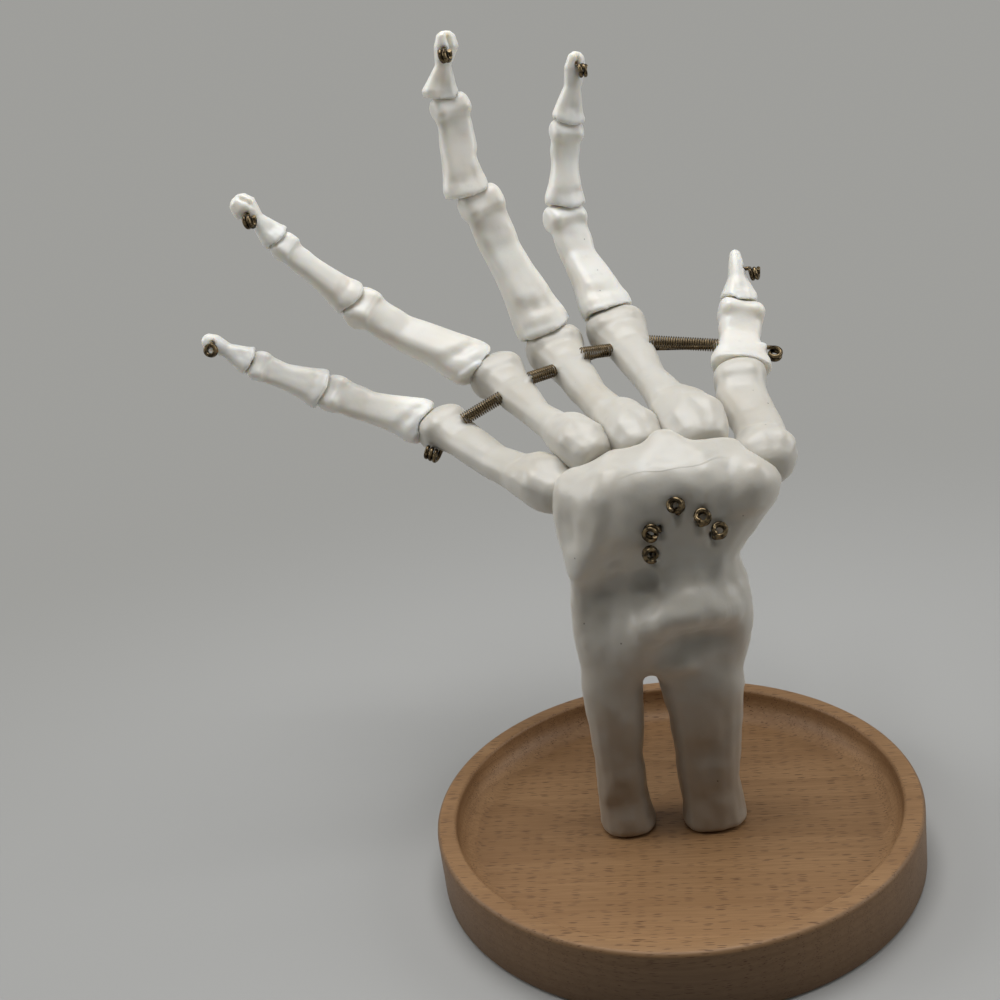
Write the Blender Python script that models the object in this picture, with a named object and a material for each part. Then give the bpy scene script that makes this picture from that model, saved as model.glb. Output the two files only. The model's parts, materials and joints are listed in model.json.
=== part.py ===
"""Skeleton hand jewelry holder.

A life-size right hand of moulded bones stands, palm towards the viewer, on two forearm
stubs in a turned wooden tray. One wire for each finger strings its bones together, from
a curled eye on the wrist's palm side to a curled eye at the fingertip. A cross wire with
four coil springs holds the metacarpals and the thumb apart. Metres, +Z up, the origin
at the middle of the tray's underside, +Y away from the viewer.
"""

from collections import namedtuple
from math import copysign, cos, pi, radians, sin, sqrt, tan, tau

import bmesh
import bpy
from mathutils import Matrix, Vector
from mathutils.bvhtree import BVHTree

# Clearances
SEAT_GAP = 0.0003
SOCKET_PLAY = 0.0004
BORE_PLAY = 0.00025

# Turned wooden tray
TRAY_RADIUS = 0.064
TRAY_HEIGHT = 0.017
RIM_WIDTH = 0.0052
RECESS_DEPTH = 0.0085
COVE_RADIUS = 0.0065
TRAY_EDGE_ROUND = 0.0012

# Wood screws that hold the two stubs from below
SCREW_RADIUS = 0.00175
SCREW_HEAD_RADIUS = 0.0036
SCREW_HEAD_HEIGHT = 0.0024
SCREW_BITE = 0.014

# Wrist block: from the recess floor to the fork of the stubs, and from there to the crown
FORK_HEIGHT = 0.0455
CROWN_HEIGHT = 0.0620

# A section of the block: height over the fork, left and right side, palm and back side
Section = namedtuple("Section", "height left right palm back")
WRIST_SECTIONS = (
    Section(-0.0012, -0.0203, 0.0212, -0.0068, 0.0072),
    Section(0.0030, -0.0206, 0.0228, -0.0076, 0.0078),
    Section(0.0065, -0.0209, 0.0239, -0.0082, 0.0083),
    Section(0.0100, -0.0211, 0.0247, -0.0087, 0.0088),
    Section(0.0140, -0.0212, 0.0250, -0.0091, 0.0092),
    Section(0.0185, -0.0209, 0.0246, -0.0093, 0.0096),
    Section(0.0240, -0.0204, 0.0238, -0.0094, 0.0100),
    Section(0.0300, -0.0199, 0.0229, -0.0091, 0.0104),
    Section(0.0345, -0.0211, 0.0257, -0.0088, 0.0110),
    Section(0.0395, -0.0222, 0.0298, -0.0088, 0.0116),
    Section(0.0440, -0.0226, 0.0328, -0.0091, 0.0122),
    Section(0.0480, -0.0224, 0.0338, -0.0093, 0.0124),
    Section(0.0507, -0.0220, 0.0333, -0.0090, 0.0124),
    Section(0.0528, -0.0212, 0.0317, -0.0080, 0.0122),
    Section(0.0547, -0.0180, 0.0294, -0.0062, 0.0119),
    Section(0.0561, -0.0118, 0.0268, -0.0038, 0.0115),
    Section(0.0575, -0.0073, 0.0238, -0.0012, 0.0110),
    Section(0.0590, -0.0031, 0.0198, 0.0014, 0.0104),
    Section(0.0602, 0.0006, 0.0134, 0.0034, 0.0097),
    Section(0.0612, 0.0025, 0.0104, 0.0050, 0.0090),
    Section(CROWN_HEIGHT, 0.0044, 0.0084, 0.0062, 0.0082),
)
# The palm side's hollows and swellings: middle across and over the fork, half width, half
# height, and how far out each one stands
PalmForm = namedtuple("PalmForm", "across height half_width half_height rise")
PALM_FORMS = (
    PalmForm(0.0050, 0.0400, 0.0160, 0.0170, -0.0030),
    PalmForm(-0.0150, 0.0480, 0.0060, 0.0110, 0.0016),
    PalmForm(0.0245, 0.0480, 0.0080, 0.0090, 0.0018),
    PalmForm(-0.0105, 0.0190, 0.0115, 0.0130, -0.0030),
    PalmForm(0.0085, 0.0200, 0.0120, 0.0065, 0.0018),
    PalmForm(0.0065, 0.0095, 0.0100, 0.0060, -0.0018),
)

# A section of a forearm stub: how far up from the foot to the fork it is, and its sides
StubSection = namedtuple("StubSection", "share left right palm back")
STUBS = {
    "ulna": (
        StubSection(0.00, -0.0193, -0.0058, -0.0074, 0.0066),
        StubSection(0.025, -0.0200, -0.0050, -0.0081, 0.0072),
        StubSection(0.09, -0.0199, -0.0057, -0.0076, 0.0068),
        StubSection(0.20, -0.0198, -0.0064, -0.0068, 0.0062),
        StubSection(0.50, -0.0199, -0.0066, -0.0062, 0.0060),
        StubSection(0.75, -0.0204, -0.0055, -0.0066, 0.0064),
        StubSection(0.90, -0.0211, -0.0044, -0.0070, 0.0070),
        StubSection(1.00, -0.0208, -0.0038, -0.0072, 0.0074),
    ),
    "radius": (
        StubSection(0.00, 0.0024, 0.0184, -0.0078, 0.0070),
        StubSection(0.025, 0.0017, 0.0192, -0.0085, 0.0076),
        StubSection(0.09, 0.0019, 0.0186, -0.0080, 0.0072),
        StubSection(0.25, 0.0018, 0.0182, -0.0070, 0.0066),
        StubSection(0.50, 0.0014, 0.0194, -0.0066, 0.0064),
        StubSection(0.72, 0.0006, 0.0204, -0.0070, 0.0068),
        StubSection(0.88, -0.0006, 0.0211, -0.0074, 0.0074),
        StubSection(1.00, -0.0012, 0.0214, -0.0076, 0.0078),
    ),
}
# The notch at the fork: its middle, and its half width and rise over the fork across the depth
FORK_X = -0.0025
FORK_NOTCH = (
    (-0.0110, 0.0056, 0.0050),
    (-0.0065, 0.0036, 0.0018),
    (-0.0030, 0.0022, -0.0002),
    (0.0000, 0.0018, -0.0010),
    (0.0030, 0.0022, -0.0002),
    (0.0065, 0.0036, 0.0018),
    (0.0110, 0.0056, 0.0050),
)
# How far the stubs reach up into the block above the fork, and by how much they draw in there
STUB_ROOT = 0.0080
STUB_ROOT_DRAW = 0.0045

# Wires, and the curled eyes at their ends
WIRE_DIAMETER = 0.0012
EYE_RADIUS = 0.00145
EYE_TURNS = 1.75
COIL_AIR = 0.00045
WIRE_BEND = 0.0016
EYE_POINTS = 8
# The drilled hole that each finger's wire comes out of on the palm side
PALM_HOLE_RADIUS = 0.00135
PALM_HOLE_DEPTH = 0.0040
# How far the cross wire runs on the palm side of the bones' middles
CROSS_WIRE_SHIFT = 0.0022

# Coil springs on the cross wire
SPRING_DIAMETER = 0.0038
SPRING_WIRE = 0.0005
SPRING_PITCH = 0.00102
SPRING_POINTS = 8

# A bone: its length between joints, its heading (turn from +Y towards +X, and rise, in
# degrees), and half widths and half depths at its foot, waist and head. The head turns
# on the next joint's axis, so its depth there is its radius. The slip is how far the foot
# sits off the middle of the head that it turns on.
Bone = namedtuple(
    "Bone",
    "length turn rise foot_width foot_depth waist_width waist_depth head_width head_radius slip",
    defaults=(0.0,),
)
BONES = {
    "thumb": (
        Bone(0.0410, -1.2, 16.2, 0.0078, 0.0070, 0.0077, 0.0052, 0.0068, 0.0064),
        Bone(0.0295, 8.3, 26.7, 0.0088, 0.0062, 0.0054, 0.0040, 0.0064, 0.0046),
        Bone(0.0218, 4.0, 50.0, 0.0056, 0.0042, 0.0028, 0.0026, 0.0022, 0.0020),
    ),
    "forefinger": (
        Bone(0.0630, -16.8, 15.9, 0.0086, 0.0070, 0.0046, 0.0048, 0.0082, 0.0070),
        Bone(0.0395, -31.4, 53.8, 0.0082, 0.0062, 0.0052, 0.0042, 0.0061, 0.0045),
        Bone(0.0254, 44.0, 78.9, 0.0064, 0.0049, 0.0040, 0.0032, 0.0050, 0.0034),
        Bone(0.0222, 95.0, 75.0, 0.0052, 0.0036, 0.0026, 0.0024, 0.0034, 0.0025),
    ),
    "long_finger": (
        Bone(0.0610, -21.0, 14.2, 0.0072, 0.0070, 0.0048, 0.0048, 0.0080, 0.0072),
        Bone(0.0475, -62.9, 66.6, 0.0083, 0.0066, 0.0057, 0.0046, 0.0063, 0.0047),
        Bone(0.0282, -74.0, 79.0, 0.0070, 0.0052, 0.0047, 0.0036, 0.0056, 0.0037, -0.0032),
        Bone(0.0203, 115.0, 84.0, 0.0054, 0.0038, 0.0023, 0.0022, 0.0037, 0.0027, -0.0028),
    ),
    "ring_finger": (
        Bone(0.0540, -29.0, 12.7, 0.0068, 0.0066, 0.0042, 0.0044, 0.0076, 0.0067),
        Bone(0.0435, -88.0, 33.4, 0.0077, 0.0061, 0.0056, 0.0043, 0.0058, 0.0044),
        Bone(0.0277, -100.0, 47.6, 0.0057, 0.0048, 0.0034, 0.0033, 0.0040, 0.0032),
        Bone(0.0189, -92.0, 53.0, 0.0044, 0.0035, 0.0022, 0.0022, 0.0040, 0.0040),
    ),
    "little_finger": (
        Bone(0.0500, -41.3, 11.0, 0.0078, 0.0068, 0.0054, 0.0046, 0.0072, 0.0062),
        Bone(0.0340, -81.0, 21.6, 0.0070, 0.0056, 0.0045, 0.0036, 0.0052, 0.0039),
        Bone(0.0227, -94.0, 28.9, 0.0061, 0.0045, 0.0038, 0.0030, 0.0043, 0.0029),
        Bone(0.0181, -86.0, 32.8, 0.0043, 0.0034, 0.0021, 0.0019, 0.0028, 0.0022),
    ),
}
# How far each kind's shaft bows towards the back of the hand
BOWS = {
    "metacarpal": 0.0024,
    "proximal_phalanx": 0.0022,
    "middle_phalanx": 0.0008,
    "distal_phalanx": 0.0,
}
# Where a shaft is slimmest, as a share of the bone's length
WAISTS = {
    "metacarpal": 0.53,
    "proximal_phalanx": 0.70,
    "middle_phalanx": 0.70,
    "distal_phalanx": 0.56,
}
# A metacarpal's broad foot: places as shares of its length, sizes as shares of the foot's.
# Past it the throat keeps a share of the way from the waist's size to the foot's.
FOOT_STOPS = ((-0.10, 0.62), (-0.06, 0.86), (0.0, 0.98), (0.07, 1.0), (0.20, 0.97))
THROAT = (0.34, 0.25)
THROAT_BOW = 0.7
# A phalanx's foot: places as shares of its socket's radius, sizes as shares of the foot's
SOCKET_STOPS = ((0.86, 0.94), (1.3, 1.0))
SOCKET_CURL = 0.2
# The neck under a head: from where to where about the head's axis, as shares of its radius,
# and its size as shares of the head's
NECK_START = -0.7
NECK_END = 0.1
NECK_WIDTH = 0.90
NECK_DEPTH = 0.78
# A last bone's tip: places as shares of its length, sizes as shares of the tip's
TIP_STOPS = ((0.80, 1.0), (0.95, 0.74), (1.0, 0.34))
# How square the outlines are, 1 being a plain oval, and how flat a shaft's palm side is
BLOCK_SQUARE = 0.8
STUB_SQUARE = 0.85
SHAFT_PALM_DEPTH = 0.9
SHAFT_PALM_SQUARE = 0.8
# The metacarpals whose feet are cut to sit beside another's
NEIGHBOURS = (
    ("forefinger", "long_finger"),
    ("ring_finger", "long_finger"),
    ("little_finger", "ring_finger"),
    ("thumb", "forefinger"),
)
KINDS = ("metacarpal", "proximal_phalanx", "middle_phalanx", "distal_phalanx")
THUMB_KINDS = ("metacarpal", "proximal_phalanx", "distal_phalanx")

# Where each metacarpal's foot is seated: across, back, and down from the crown
SEATS = {
    "thumb": (0.0310, 0.0060, 0.0112),
    "forefinger": (0.0152, 0.0125, 0.0035),
    "long_finger": (0.0003, 0.0125, 0.0043),
    "ring_finger": (-0.0124, 0.0125, 0.0052),
    "little_finger": (-0.0216, 0.0105, 0.0138),
}
# Where each finger's wire comes out on the palm side, across and down from the crown, and
# the way from that hole to the eye beside it
PalmEye = namedtuple("PalmEye", "across down beside")
PALM_EYES = {
    "thumb": PalmEye(0.0161, 0.0241, Vector((0.7, 0.0, 0.7))),
    "forefinger": PalmEye(0.0129, 0.0204, Vector((0.5, 0.0, 0.87))),
    "long_finger": PalmEye(0.0080, 0.0172, Vector((0.0, 0.0, 1.0))),
    "ring_finger": PalmEye(0.0034, 0.0210, Vector((-1.0, 0.0, 0.1))),
    "little_finger": PalmEye(0.0014, 0.0282, Vector((-0.5, 0.0, 0.87))),
}
# Where each finger's wire leaves the last bone, as a share of its length, the way it comes
# out, the way from there to the eye, and whether the eye stands out from the bone or lies flat
TipEye = namedtuple("TipEye", "share way beside standing")
TIP_EYES = {
    "thumb": TipEye(0.70, Vector((0.98, -0.2, 0.0)), Vector((0.0, -0.6, -0.8)), False),
    "forefinger": TipEye(0.86, Vector((0.25, -0.97, 0.0)), Vector((0.0, 0.0, -1.0)), True),
    "long_finger": TipEye(0.77, Vector((-0.25, -0.97, 0.1)), Vector((0.0, 0.0, -1.0)), True),
    "ring_finger": TipEye(0.70, Vector((0.0, -0.95, -0.2)), Vector((0.0, -0.1, -1.0)), True),
    "little_finger": TipEye(0.80, Vector((0.0, -0.85, 0.3)), Vector((-0.25, 0.0, -1.0)), False),
}
# Where the cross wire passes each bone, as a share of the bone's length
CROSS_WIRE_HOLES = {
    "little_finger": 0.89,
    "ring_finger": 0.74,
    "long_finger": 0.76,
    "forefinger": 0.79,
    "thumb": 0.41,
}
# The way the cross wire leaves the outermost bones
LITTLE_END_WAY = Vector((-0.5, -0.15, -0.85))
THUMB_END_WAY = Vector((0.98, 0.0, -0.15))
LITTLE_EYE_AXIS = Vector((-0.85, 0.15, 0.48))
THUMB_EYE_AXIS = Vector((0.0, 0.5, -0.85))

# The way the palm side of the metacarpals looks, and of each finger's phalanges
PALM_WAY = Vector((0.0, -0.35, 0.94))
FINGER_WAYS = {
    "thumb": Vector((0.10, -0.94, 0.32)),
    "forefinger": Vector((0.50, -0.85, 0.15)),
    "long_finger": Vector((0.50, -0.85, 0.15)),
    "ring_finger": Vector((0.40, -0.70, 0.60)),
    "little_finger": Vector((0.20, -0.80, 0.55)),
}

# Facets
BONE_SIDES = 12
LOFT_STEPS = 5
HEAD_SIDES = 10
BLOCK_SIDES = 24
STUB_SIDES = 14
TRAY_SIDES = 44
COVE_STEPS = 3
SCREW_SIDES = 12
HOLE_SIDES = 8

# How far out the rays start that look for a piece's surface, and how many go round a tube
RAY_LENGTH = 0.03
RAY_COUNT = 12

FLOOR_Z = TRAY_HEIGHT - RECESS_DEPTH
STUB_Z = FLOOR_Z + SEAT_GAP
FORK_Z = STUB_Z + FORK_HEIGHT
CROWN_Z = FORK_Z + CROWN_HEIGHT
WIRE_RADIUS = WIRE_DIAMETER / 2
BORE_RADIUS = WIRE_RADIUS + BORE_PLAY


def clear_scene():
    for obj in list(bpy.data.objects):
        bpy.data.objects.remove(obj, do_unlink=True)


def material(name, colour, roughness, metallic=0.0):
    made = bpy.data.materials.new(name)
    made.use_nodes = True
    shader = made.node_tree.nodes["Principled BSDF"]
    shader.inputs["Base Color"].default_value = (*colour, 1.0)
    shader.inputs["Roughness"].default_value = roughness
    shader.inputs["Metallic"].default_value = metallic
    return made


def add_object(name, data, look, frame):
    obj = bpy.data.objects.new(name, data)
    bpy.context.scene.collection.objects.link(obj)
    obj.matrix_world = frame
    if look:
        data.materials.append(look)
    return obj


def add_solid(name, rings, look, frame):
    """A closed body lofted through rings of as many points each, smooth but for sharp edges."""
    bm = bmesh.new()
    loops = [[bm.verts.new(point) for point in ring] for ring in rings]
    for near, far in zip(loops, loops[1:]):
        for i in range(len(near)):
            j = (i + 1) % len(near)
            bm.faces.new((near[i], near[j], far[j], far[i]))
    bm.faces.new(loops[0][::-1])
    bm.faces.new(loops[-1])
    bmesh.ops.recalc_face_normals(bm, faces=bm.faces)
    mesh = bpy.data.meshes.new(name)
    bm.to_mesh(mesh)
    bm.free()
    mesh.shade_smooth()
    mesh.set_sharp_from_angle(angle=radians(50))
    return add_object(name, mesh, look, frame)


def add_guide(name, rings, frame):
    guide = add_solid(name, rings, None, frame)
    return hide_guide(guide)


def hide_guide(guide):
    guide.hide_render = True
    guide.display_type = "WIRE"
    return guide


def combine(obj, other, operation):
    boolean = obj.modifiers.new(f"{operation.lower()}_{other.name}", "BOOLEAN")
    boolean.operation = operation
    boolean.object = other


def join(obj, other):
    combine(obj, other, "UNION")


def cut(obj, other):
    combine(obj, other, "DIFFERENCE")


def circle(radius, z, sides):
    angles = [tau * k / sides for k in range(sides)]
    return [Vector((radius * cos(a), radius * sin(a), z)) for a in angles]


def arc(middle_r, middle_z, radius, start, end, steps):
    """Points (r, z) of an arc in a turned profile, from one angle to another in degrees."""
    angles = [radians(start + (end - start) * k / steps) for k in range(steps + 1)]
    return [(middle_r + radius * cos(a), middle_z + radius * sin(a)) for a in angles]


def turned(profile, sides):
    return [circle(r, z, sides) for r, z in profile]


def eased(position, stops):
    """The value at a position between stops (position, value), easing off near each stop."""
    if position <= stops[0][0]:
        return stops[0][1]
    for (start, low), (end, high) in zip(stops, stops[1:]):
        if position <= end:
            share = (position - start) / (end - start)
            smooth = share * share * (3 - 2 * share)
            return low + (high - low) * (share + smooth) / 2
    return stops[-1][1]


def frame_towards(origin, way, facing):
    """A frame whose z runs along a way and whose -y looks the facing way."""
    z = way.normalized()
    palm = (facing - facing.dot(z) * z).normalized()
    x = z.cross(palm)
    turn = Matrix((x, -palm, z)).transposed().to_4x4()
    return Matrix.Translation(origin) @ turn


def heading(turn, rise):
    turn, rise = radians(turn), radians(rise)
    return Vector((sin(turn) * cos(rise), cos(turn) * cos(rise), sin(rise)))


def tube(name, points, radius, resolution, look):
    """A wire or bore along points, as a curve with a round bevel and filled ends."""
    curve = bpy.data.curves.new(name, "CURVE")
    curve.dimensions = "3D"
    curve.bevel_depth = radius
    curve.bevel_resolution = resolution
    curve.use_fill_caps = True
    spline = curve.splines.new("POLY")
    spline.points.add(len(points) - 1)
    for place, point in zip(spline.points, points):
        place.co = (*point, 1.0)
    return add_object(name, curve, look, Matrix())


def tube_guide(name, points, radius):
    """The same tube as a mesh, because a Boolean takes no curve."""
    curve = tube(name + "_route", points, radius, 1, None)
    bpy.context.view_layer.update()
    graph = bpy.context.evaluated_depsgraph_get()
    mesh = bpy.data.meshes.new_from_object(curve.evaluated_get(graph))
    bpy.data.objects.remove(curve, do_unlink=True)
    bm = bmesh.new()
    bm.from_mesh(mesh)
    bmesh.ops.remove_doubles(bm, verts=bm.verts, dist=1e-7)
    bmesh.ops.recalc_face_normals(bm, faces=bm.faces)
    bm.to_mesh(mesh)
    bm.free()
    return hide_guide(add_object(name, mesh, None, Matrix()))


def rounded(points, radius):
    """A route with each corner between straight runs taken round in three points."""
    route = [points[0]]
    for before, corner, after in zip(points, points[1:], points[2:]):
        back = (before - corner).normalized()
        on = (after - corner).normalized()
        bend = pi - back.angle(on)
        if bend < radians(4):
            route.append(corner)
            continue
        nearest = min((before - corner).length, (after - corner).length)
        reach = min(radius * tan(bend / 2) + WIRE_RADIUS, nearest / 2)
        start, end = corner + back * reach, corner + on * reach
        route += [start, (start + end + 2 * corner) / 4, end]
    return route + [points[-1]]


def eye(start, way, axis):
    """A curled eye: from its start the wire goes its way, and coils round the axis."""
    way = way.normalized()
    axis = (axis - axis.dot(way) * way).normalized()
    side = axis.cross(way)
    middle = start + side * EYE_RADIUS
    climb = WIRE_DIAMETER + COIL_AIR
    points = []
    for k in range(round(EYE_TURNS * EYE_POINTS) + 1):
        angle = tau * k / EYE_POINTS
        spot = way * sin(angle) - side * cos(angle)
        points.append(middle + spot * EYE_RADIUS + axis * climb * angle / tau)
    return points


def eye_beside(tree, inside, way, beside):
    """An eye flat on a surface, beside the hole that its wire comes straight out of: the
    corner over the hole, then the coil, just clear of the surface."""
    way = way.normalized()
    beside = (beside - beside.dot(way) * way).normalized()
    tangent = (beside - way.cross(beside)).normalized()
    coil_middle = inside + beside * EYE_RADIUS * sqrt(2)
    reach = max(
        clear_reach(tree, coil_middle, way, EYE_RADIUS + WIRE_RADIUS),
        clear_reach(tree, coil_middle, way, EYE_RADIUS),
        clear_reach(tree, inside, way, WIRE_RADIUS),
    )
    corner = inside + way * (reach + WIRE_RADIUS + SEAT_GAP)
    return corner, eye(corner + tangent * EYE_RADIUS, tangent, way)


def eye_beyond(tree, inside, way, axis):
    """The nearest eye straight out along a way from a point inside a piece that clears it."""
    way = way.normalized()
    reach = clear_reach(tree, inside, way, WIRE_RADIUS)
    nearest = 0.0
    while nearest < WIRE_RADIUS + SEAT_GAP:
        points = eye(inside + way * reach, way, axis)
        nearest = min(tree.find_nearest(point)[3] for point in points[EYE_POINTS // 4 :])
        reach += SEAT_GAP
    return points


def self_gap(points, diameter, apart):
    """The least gap between stretches of a coiled tube that lie a half turn or more apart."""
    nearest = min(
        (points[j] - points[i]).length for i in range(len(points)) for j in range(i + apart, len(points))
    )
    return nearest - diameter


def make_tray(look):
    """A turned disc with a flat rim, a coved recess and softened edges."""
    inner = TRAY_RADIUS - RIM_WIDTH
    soft = TRAY_EDGE_ROUND
    profile = arc(inner - COVE_RADIUS, FLOOR_Z + COVE_RADIUS, COVE_RADIUS, -90, 0, COVE_STEPS)
    profile += arc(inner + soft, TRAY_HEIGHT - soft, soft, 180, 90, 2)
    profile += arc(TRAY_RADIUS - soft, TRAY_HEIGHT - soft, soft, 90, 0, 2)
    profile += arc(TRAY_RADIUS - soft, soft, soft, 0, -90, 2)
    return add_solid("tray", turned(profile, TRAY_SIDES), look, Matrix())


def screw_profile(grow):
    """A countersunk wood screw, head down, from its foot level to its tip."""
    under = SEAT_GAP if not grow else -SEAT_GAP
    head_top = SEAT_GAP + SCREW_HEAD_HEIGHT
    tip = STUB_Z + SCREW_BITE + grow
    return [
        (SCREW_HEAD_RADIUS + grow, under),
        (SCREW_HEAD_RADIUS + grow, SEAT_GAP + SCREW_HEAD_HEIGHT / 4),
        (SCREW_RADIUS + grow, head_top + grow),
        (SCREW_RADIUS + grow, tip - 2 * SCREW_RADIUS),
        ((SCREW_RADIUS + grow) / 4, tip),
    ]


def section_ring(section, z, power, sides):
    """A closed outline through a section's four sides, squarer as the power falls below one."""
    middle = Vector(((section.left + section.right) / 2, (section.palm + section.back) / 2, z))
    half_width = (section.right - section.left) / 2
    half_depth = (section.back - section.palm) / 2
    ring = []
    for k in range(sides):
        c, s = cos(tau * k / sides), sin(tau * k / sides)
        across = copysign(half_width * abs(c) ** power, c)
        ring.append(middle + Vector((across, copysign(half_depth * abs(s) ** power, s), 0)))
    return ring


def palm_relief(x, height):
    """How far the palm side stands out of its plain section at a place."""
    relief = 0.0
    for form in PALM_FORMS:
        across = (x - form.across) / form.half_width
        along = (height - form.height) / form.half_height
        relief += form.rise * max(0.0, 1 - across**2 - along**2)
    return relief


def block_rings():
    """The block's sections, with the palm half of each pushed in or out by the palm's forms."""
    rings = []
    for section in WRIST_SECTIONS:
        ring = section_ring(section, FORK_Z + section.height, BLOCK_SQUARE, BLOCK_SIDES)
        for point in ring[BLOCK_SIDES // 2 + 1 :]:
            point.y -= palm_relief(point.x, section.height)
        rings.append(ring)
    return rings


def stub_rings(sections):
    """A forearm stub: a flared foot, a slimmer shaft, and a root drawn in inside the block."""
    rings = []
    for section in sections:
        z = STUB_Z + section.share * (FORK_Z - STUB_Z)
        rings.append(section_ring(section, z, STUB_SQUARE, STUB_SIDES))
    top = sections[-1]
    root = StubSection(
        1.0,
        top.left + STUB_ROOT_DRAW,
        top.right - STUB_ROOT_DRAW,
        top.palm + STUB_ROOT_DRAW,
        top.back - STUB_ROOT_DRAW,
    )
    rings.append(section_ring(root, FORK_Z + STUB_ROOT, STUB_SQUARE, STUB_SIDES))
    return rings


def stub_middle(sections):
    return (sections[0].left + sections[0].right) / 2


def notch_rings():
    """The arched notch of the fork, narrow between the stubs and opening to both sides."""
    rings = []
    for y, half_width, rise in FORK_NOTCH:
        top = FORK_Z + rise
        outline = [(-half_width, top - 2 * half_width), (half_width, top - 2 * half_width)]
        outline += [(x, FORK_Z + z) for x, z in arc(0, rise - half_width, half_width, 0, 180, 6)]
        rings.append([Vector((FORK_X + x, y, z)) for x, z in outline])
    return rings


def bone_stops(bone, kind, socket_radius):
    """Where a bone's outline turns along its length: (z, half width, half depth, side, lift)."""
    length = bone.length
    if kind == "metacarpal":
        throat, share = THROAT
        throat_width = bone.waist_width + share * (bone.foot_width - bone.waist_width)
        throat_depth = bone.waist_depth + share * (bone.foot_depth - bone.waist_depth)
        stops = [
            (place * length, size * bone.foot_width, size * bone.foot_depth, 0.0, 0.0)
            for place, size in FOOT_STOPS
        ]
        lift = THROAT_BOW * BOWS[kind]
        stops.append((throat * length, throat_width, throat_depth, 0.0, lift))
    else:
        stops = [
            (place * socket_radius, size * bone.foot_width, size * bone.foot_depth, bone.slip, 0.0)
            for place, size in SOCKET_STOPS
        ]
    waist = WAISTS[kind] * length
    stops.append((waist, bone.waist_width, bone.waist_depth, bone.slip / 2, BOWS[kind]))
    if kind == "distal_phalanx":
        return stops + [
            (place * length, size * bone.head_width, size * bone.head_radius, 0.0, 0.0)
            for place, size in TIP_STOPS
        ]
    neck = (NECK_WIDTH * bone.head_width, NECK_DEPTH * bone.head_radius, 0.0, 0.0)
    return stops + [(length + share * bone.head_radius, *neck) for share in (NECK_START, NECK_END)]


def bone_rings(bone, kind, socket_radius, grow=0.0):
    """The rings of a bone's shaft, flatter on the palm side, its foot curled round the socket."""
    places = []
    stops = bone_stops(bone, kind, socket_radius)
    for (start, *_), (end, *_) in zip(stops, stops[1:]):
        steps = max(1, round(LOFT_STEPS * (end - start) / bone.length))
        places += [start + (end - start) * k / steps for k in range(steps)]
    places.append(stops[-1][0])
    rings = []
    for place in places:
        width, depth, side, lift = [
            eased(place, [(stop[0], stop[column]) for stop in stops]) for column in (1, 2, 3, 4)
        ]
        width, depth = width + grow, depth + grow
        z = place - grow if place == places[0] else place
        curl = SOCKET_CURL * socket_radius if place == places[0] else 0.0
        ring = []
        for k in range(BONE_SIDES):
            c, s = cos(tau * k / BONE_SIDES), sin(tau * k / BONE_SIDES)
            y = depth * s if s > 0 else -SHAFT_PALM_DEPTH * depth * abs(s) ** SHAFT_PALM_SQUARE
            ring.append(Vector((side + width * c, lift + y, z - curl * s * s)))
        rings.append(ring)
    return rings


# A head's profile across its axis: place as a share of its half width, and radius as a
# share of the head's. A knuckle is a ball drawn out sideways, the others are trochleas.
BALL = ((1.0, 0.42), (0.82, 0.74), (0.45, 0.94), (0.0, 1.0))
TROCHLEA = ((1.0, 0.70), (0.8, 0.96), (0.42, 0.98), (0.0, 0.88))


def head_rings(bone, kind, grow=0.0):
    """A head turned about its joint's axis, which is the frame's x."""
    half = BALL if kind == "metacarpal" else TROCHLEA
    profile = [(-place, share) for place, share in half] + list(half[-2::-1])
    rings = []
    for place, share in profile:
        x = place * (bone.head_width + grow)
        radius = share * bone.head_radius + grow
        rings.append([Vector((x, p.x, bone.length + p.y)) for p in circle(radius, 0, HEAD_SIDES)])
    return rings


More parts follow.
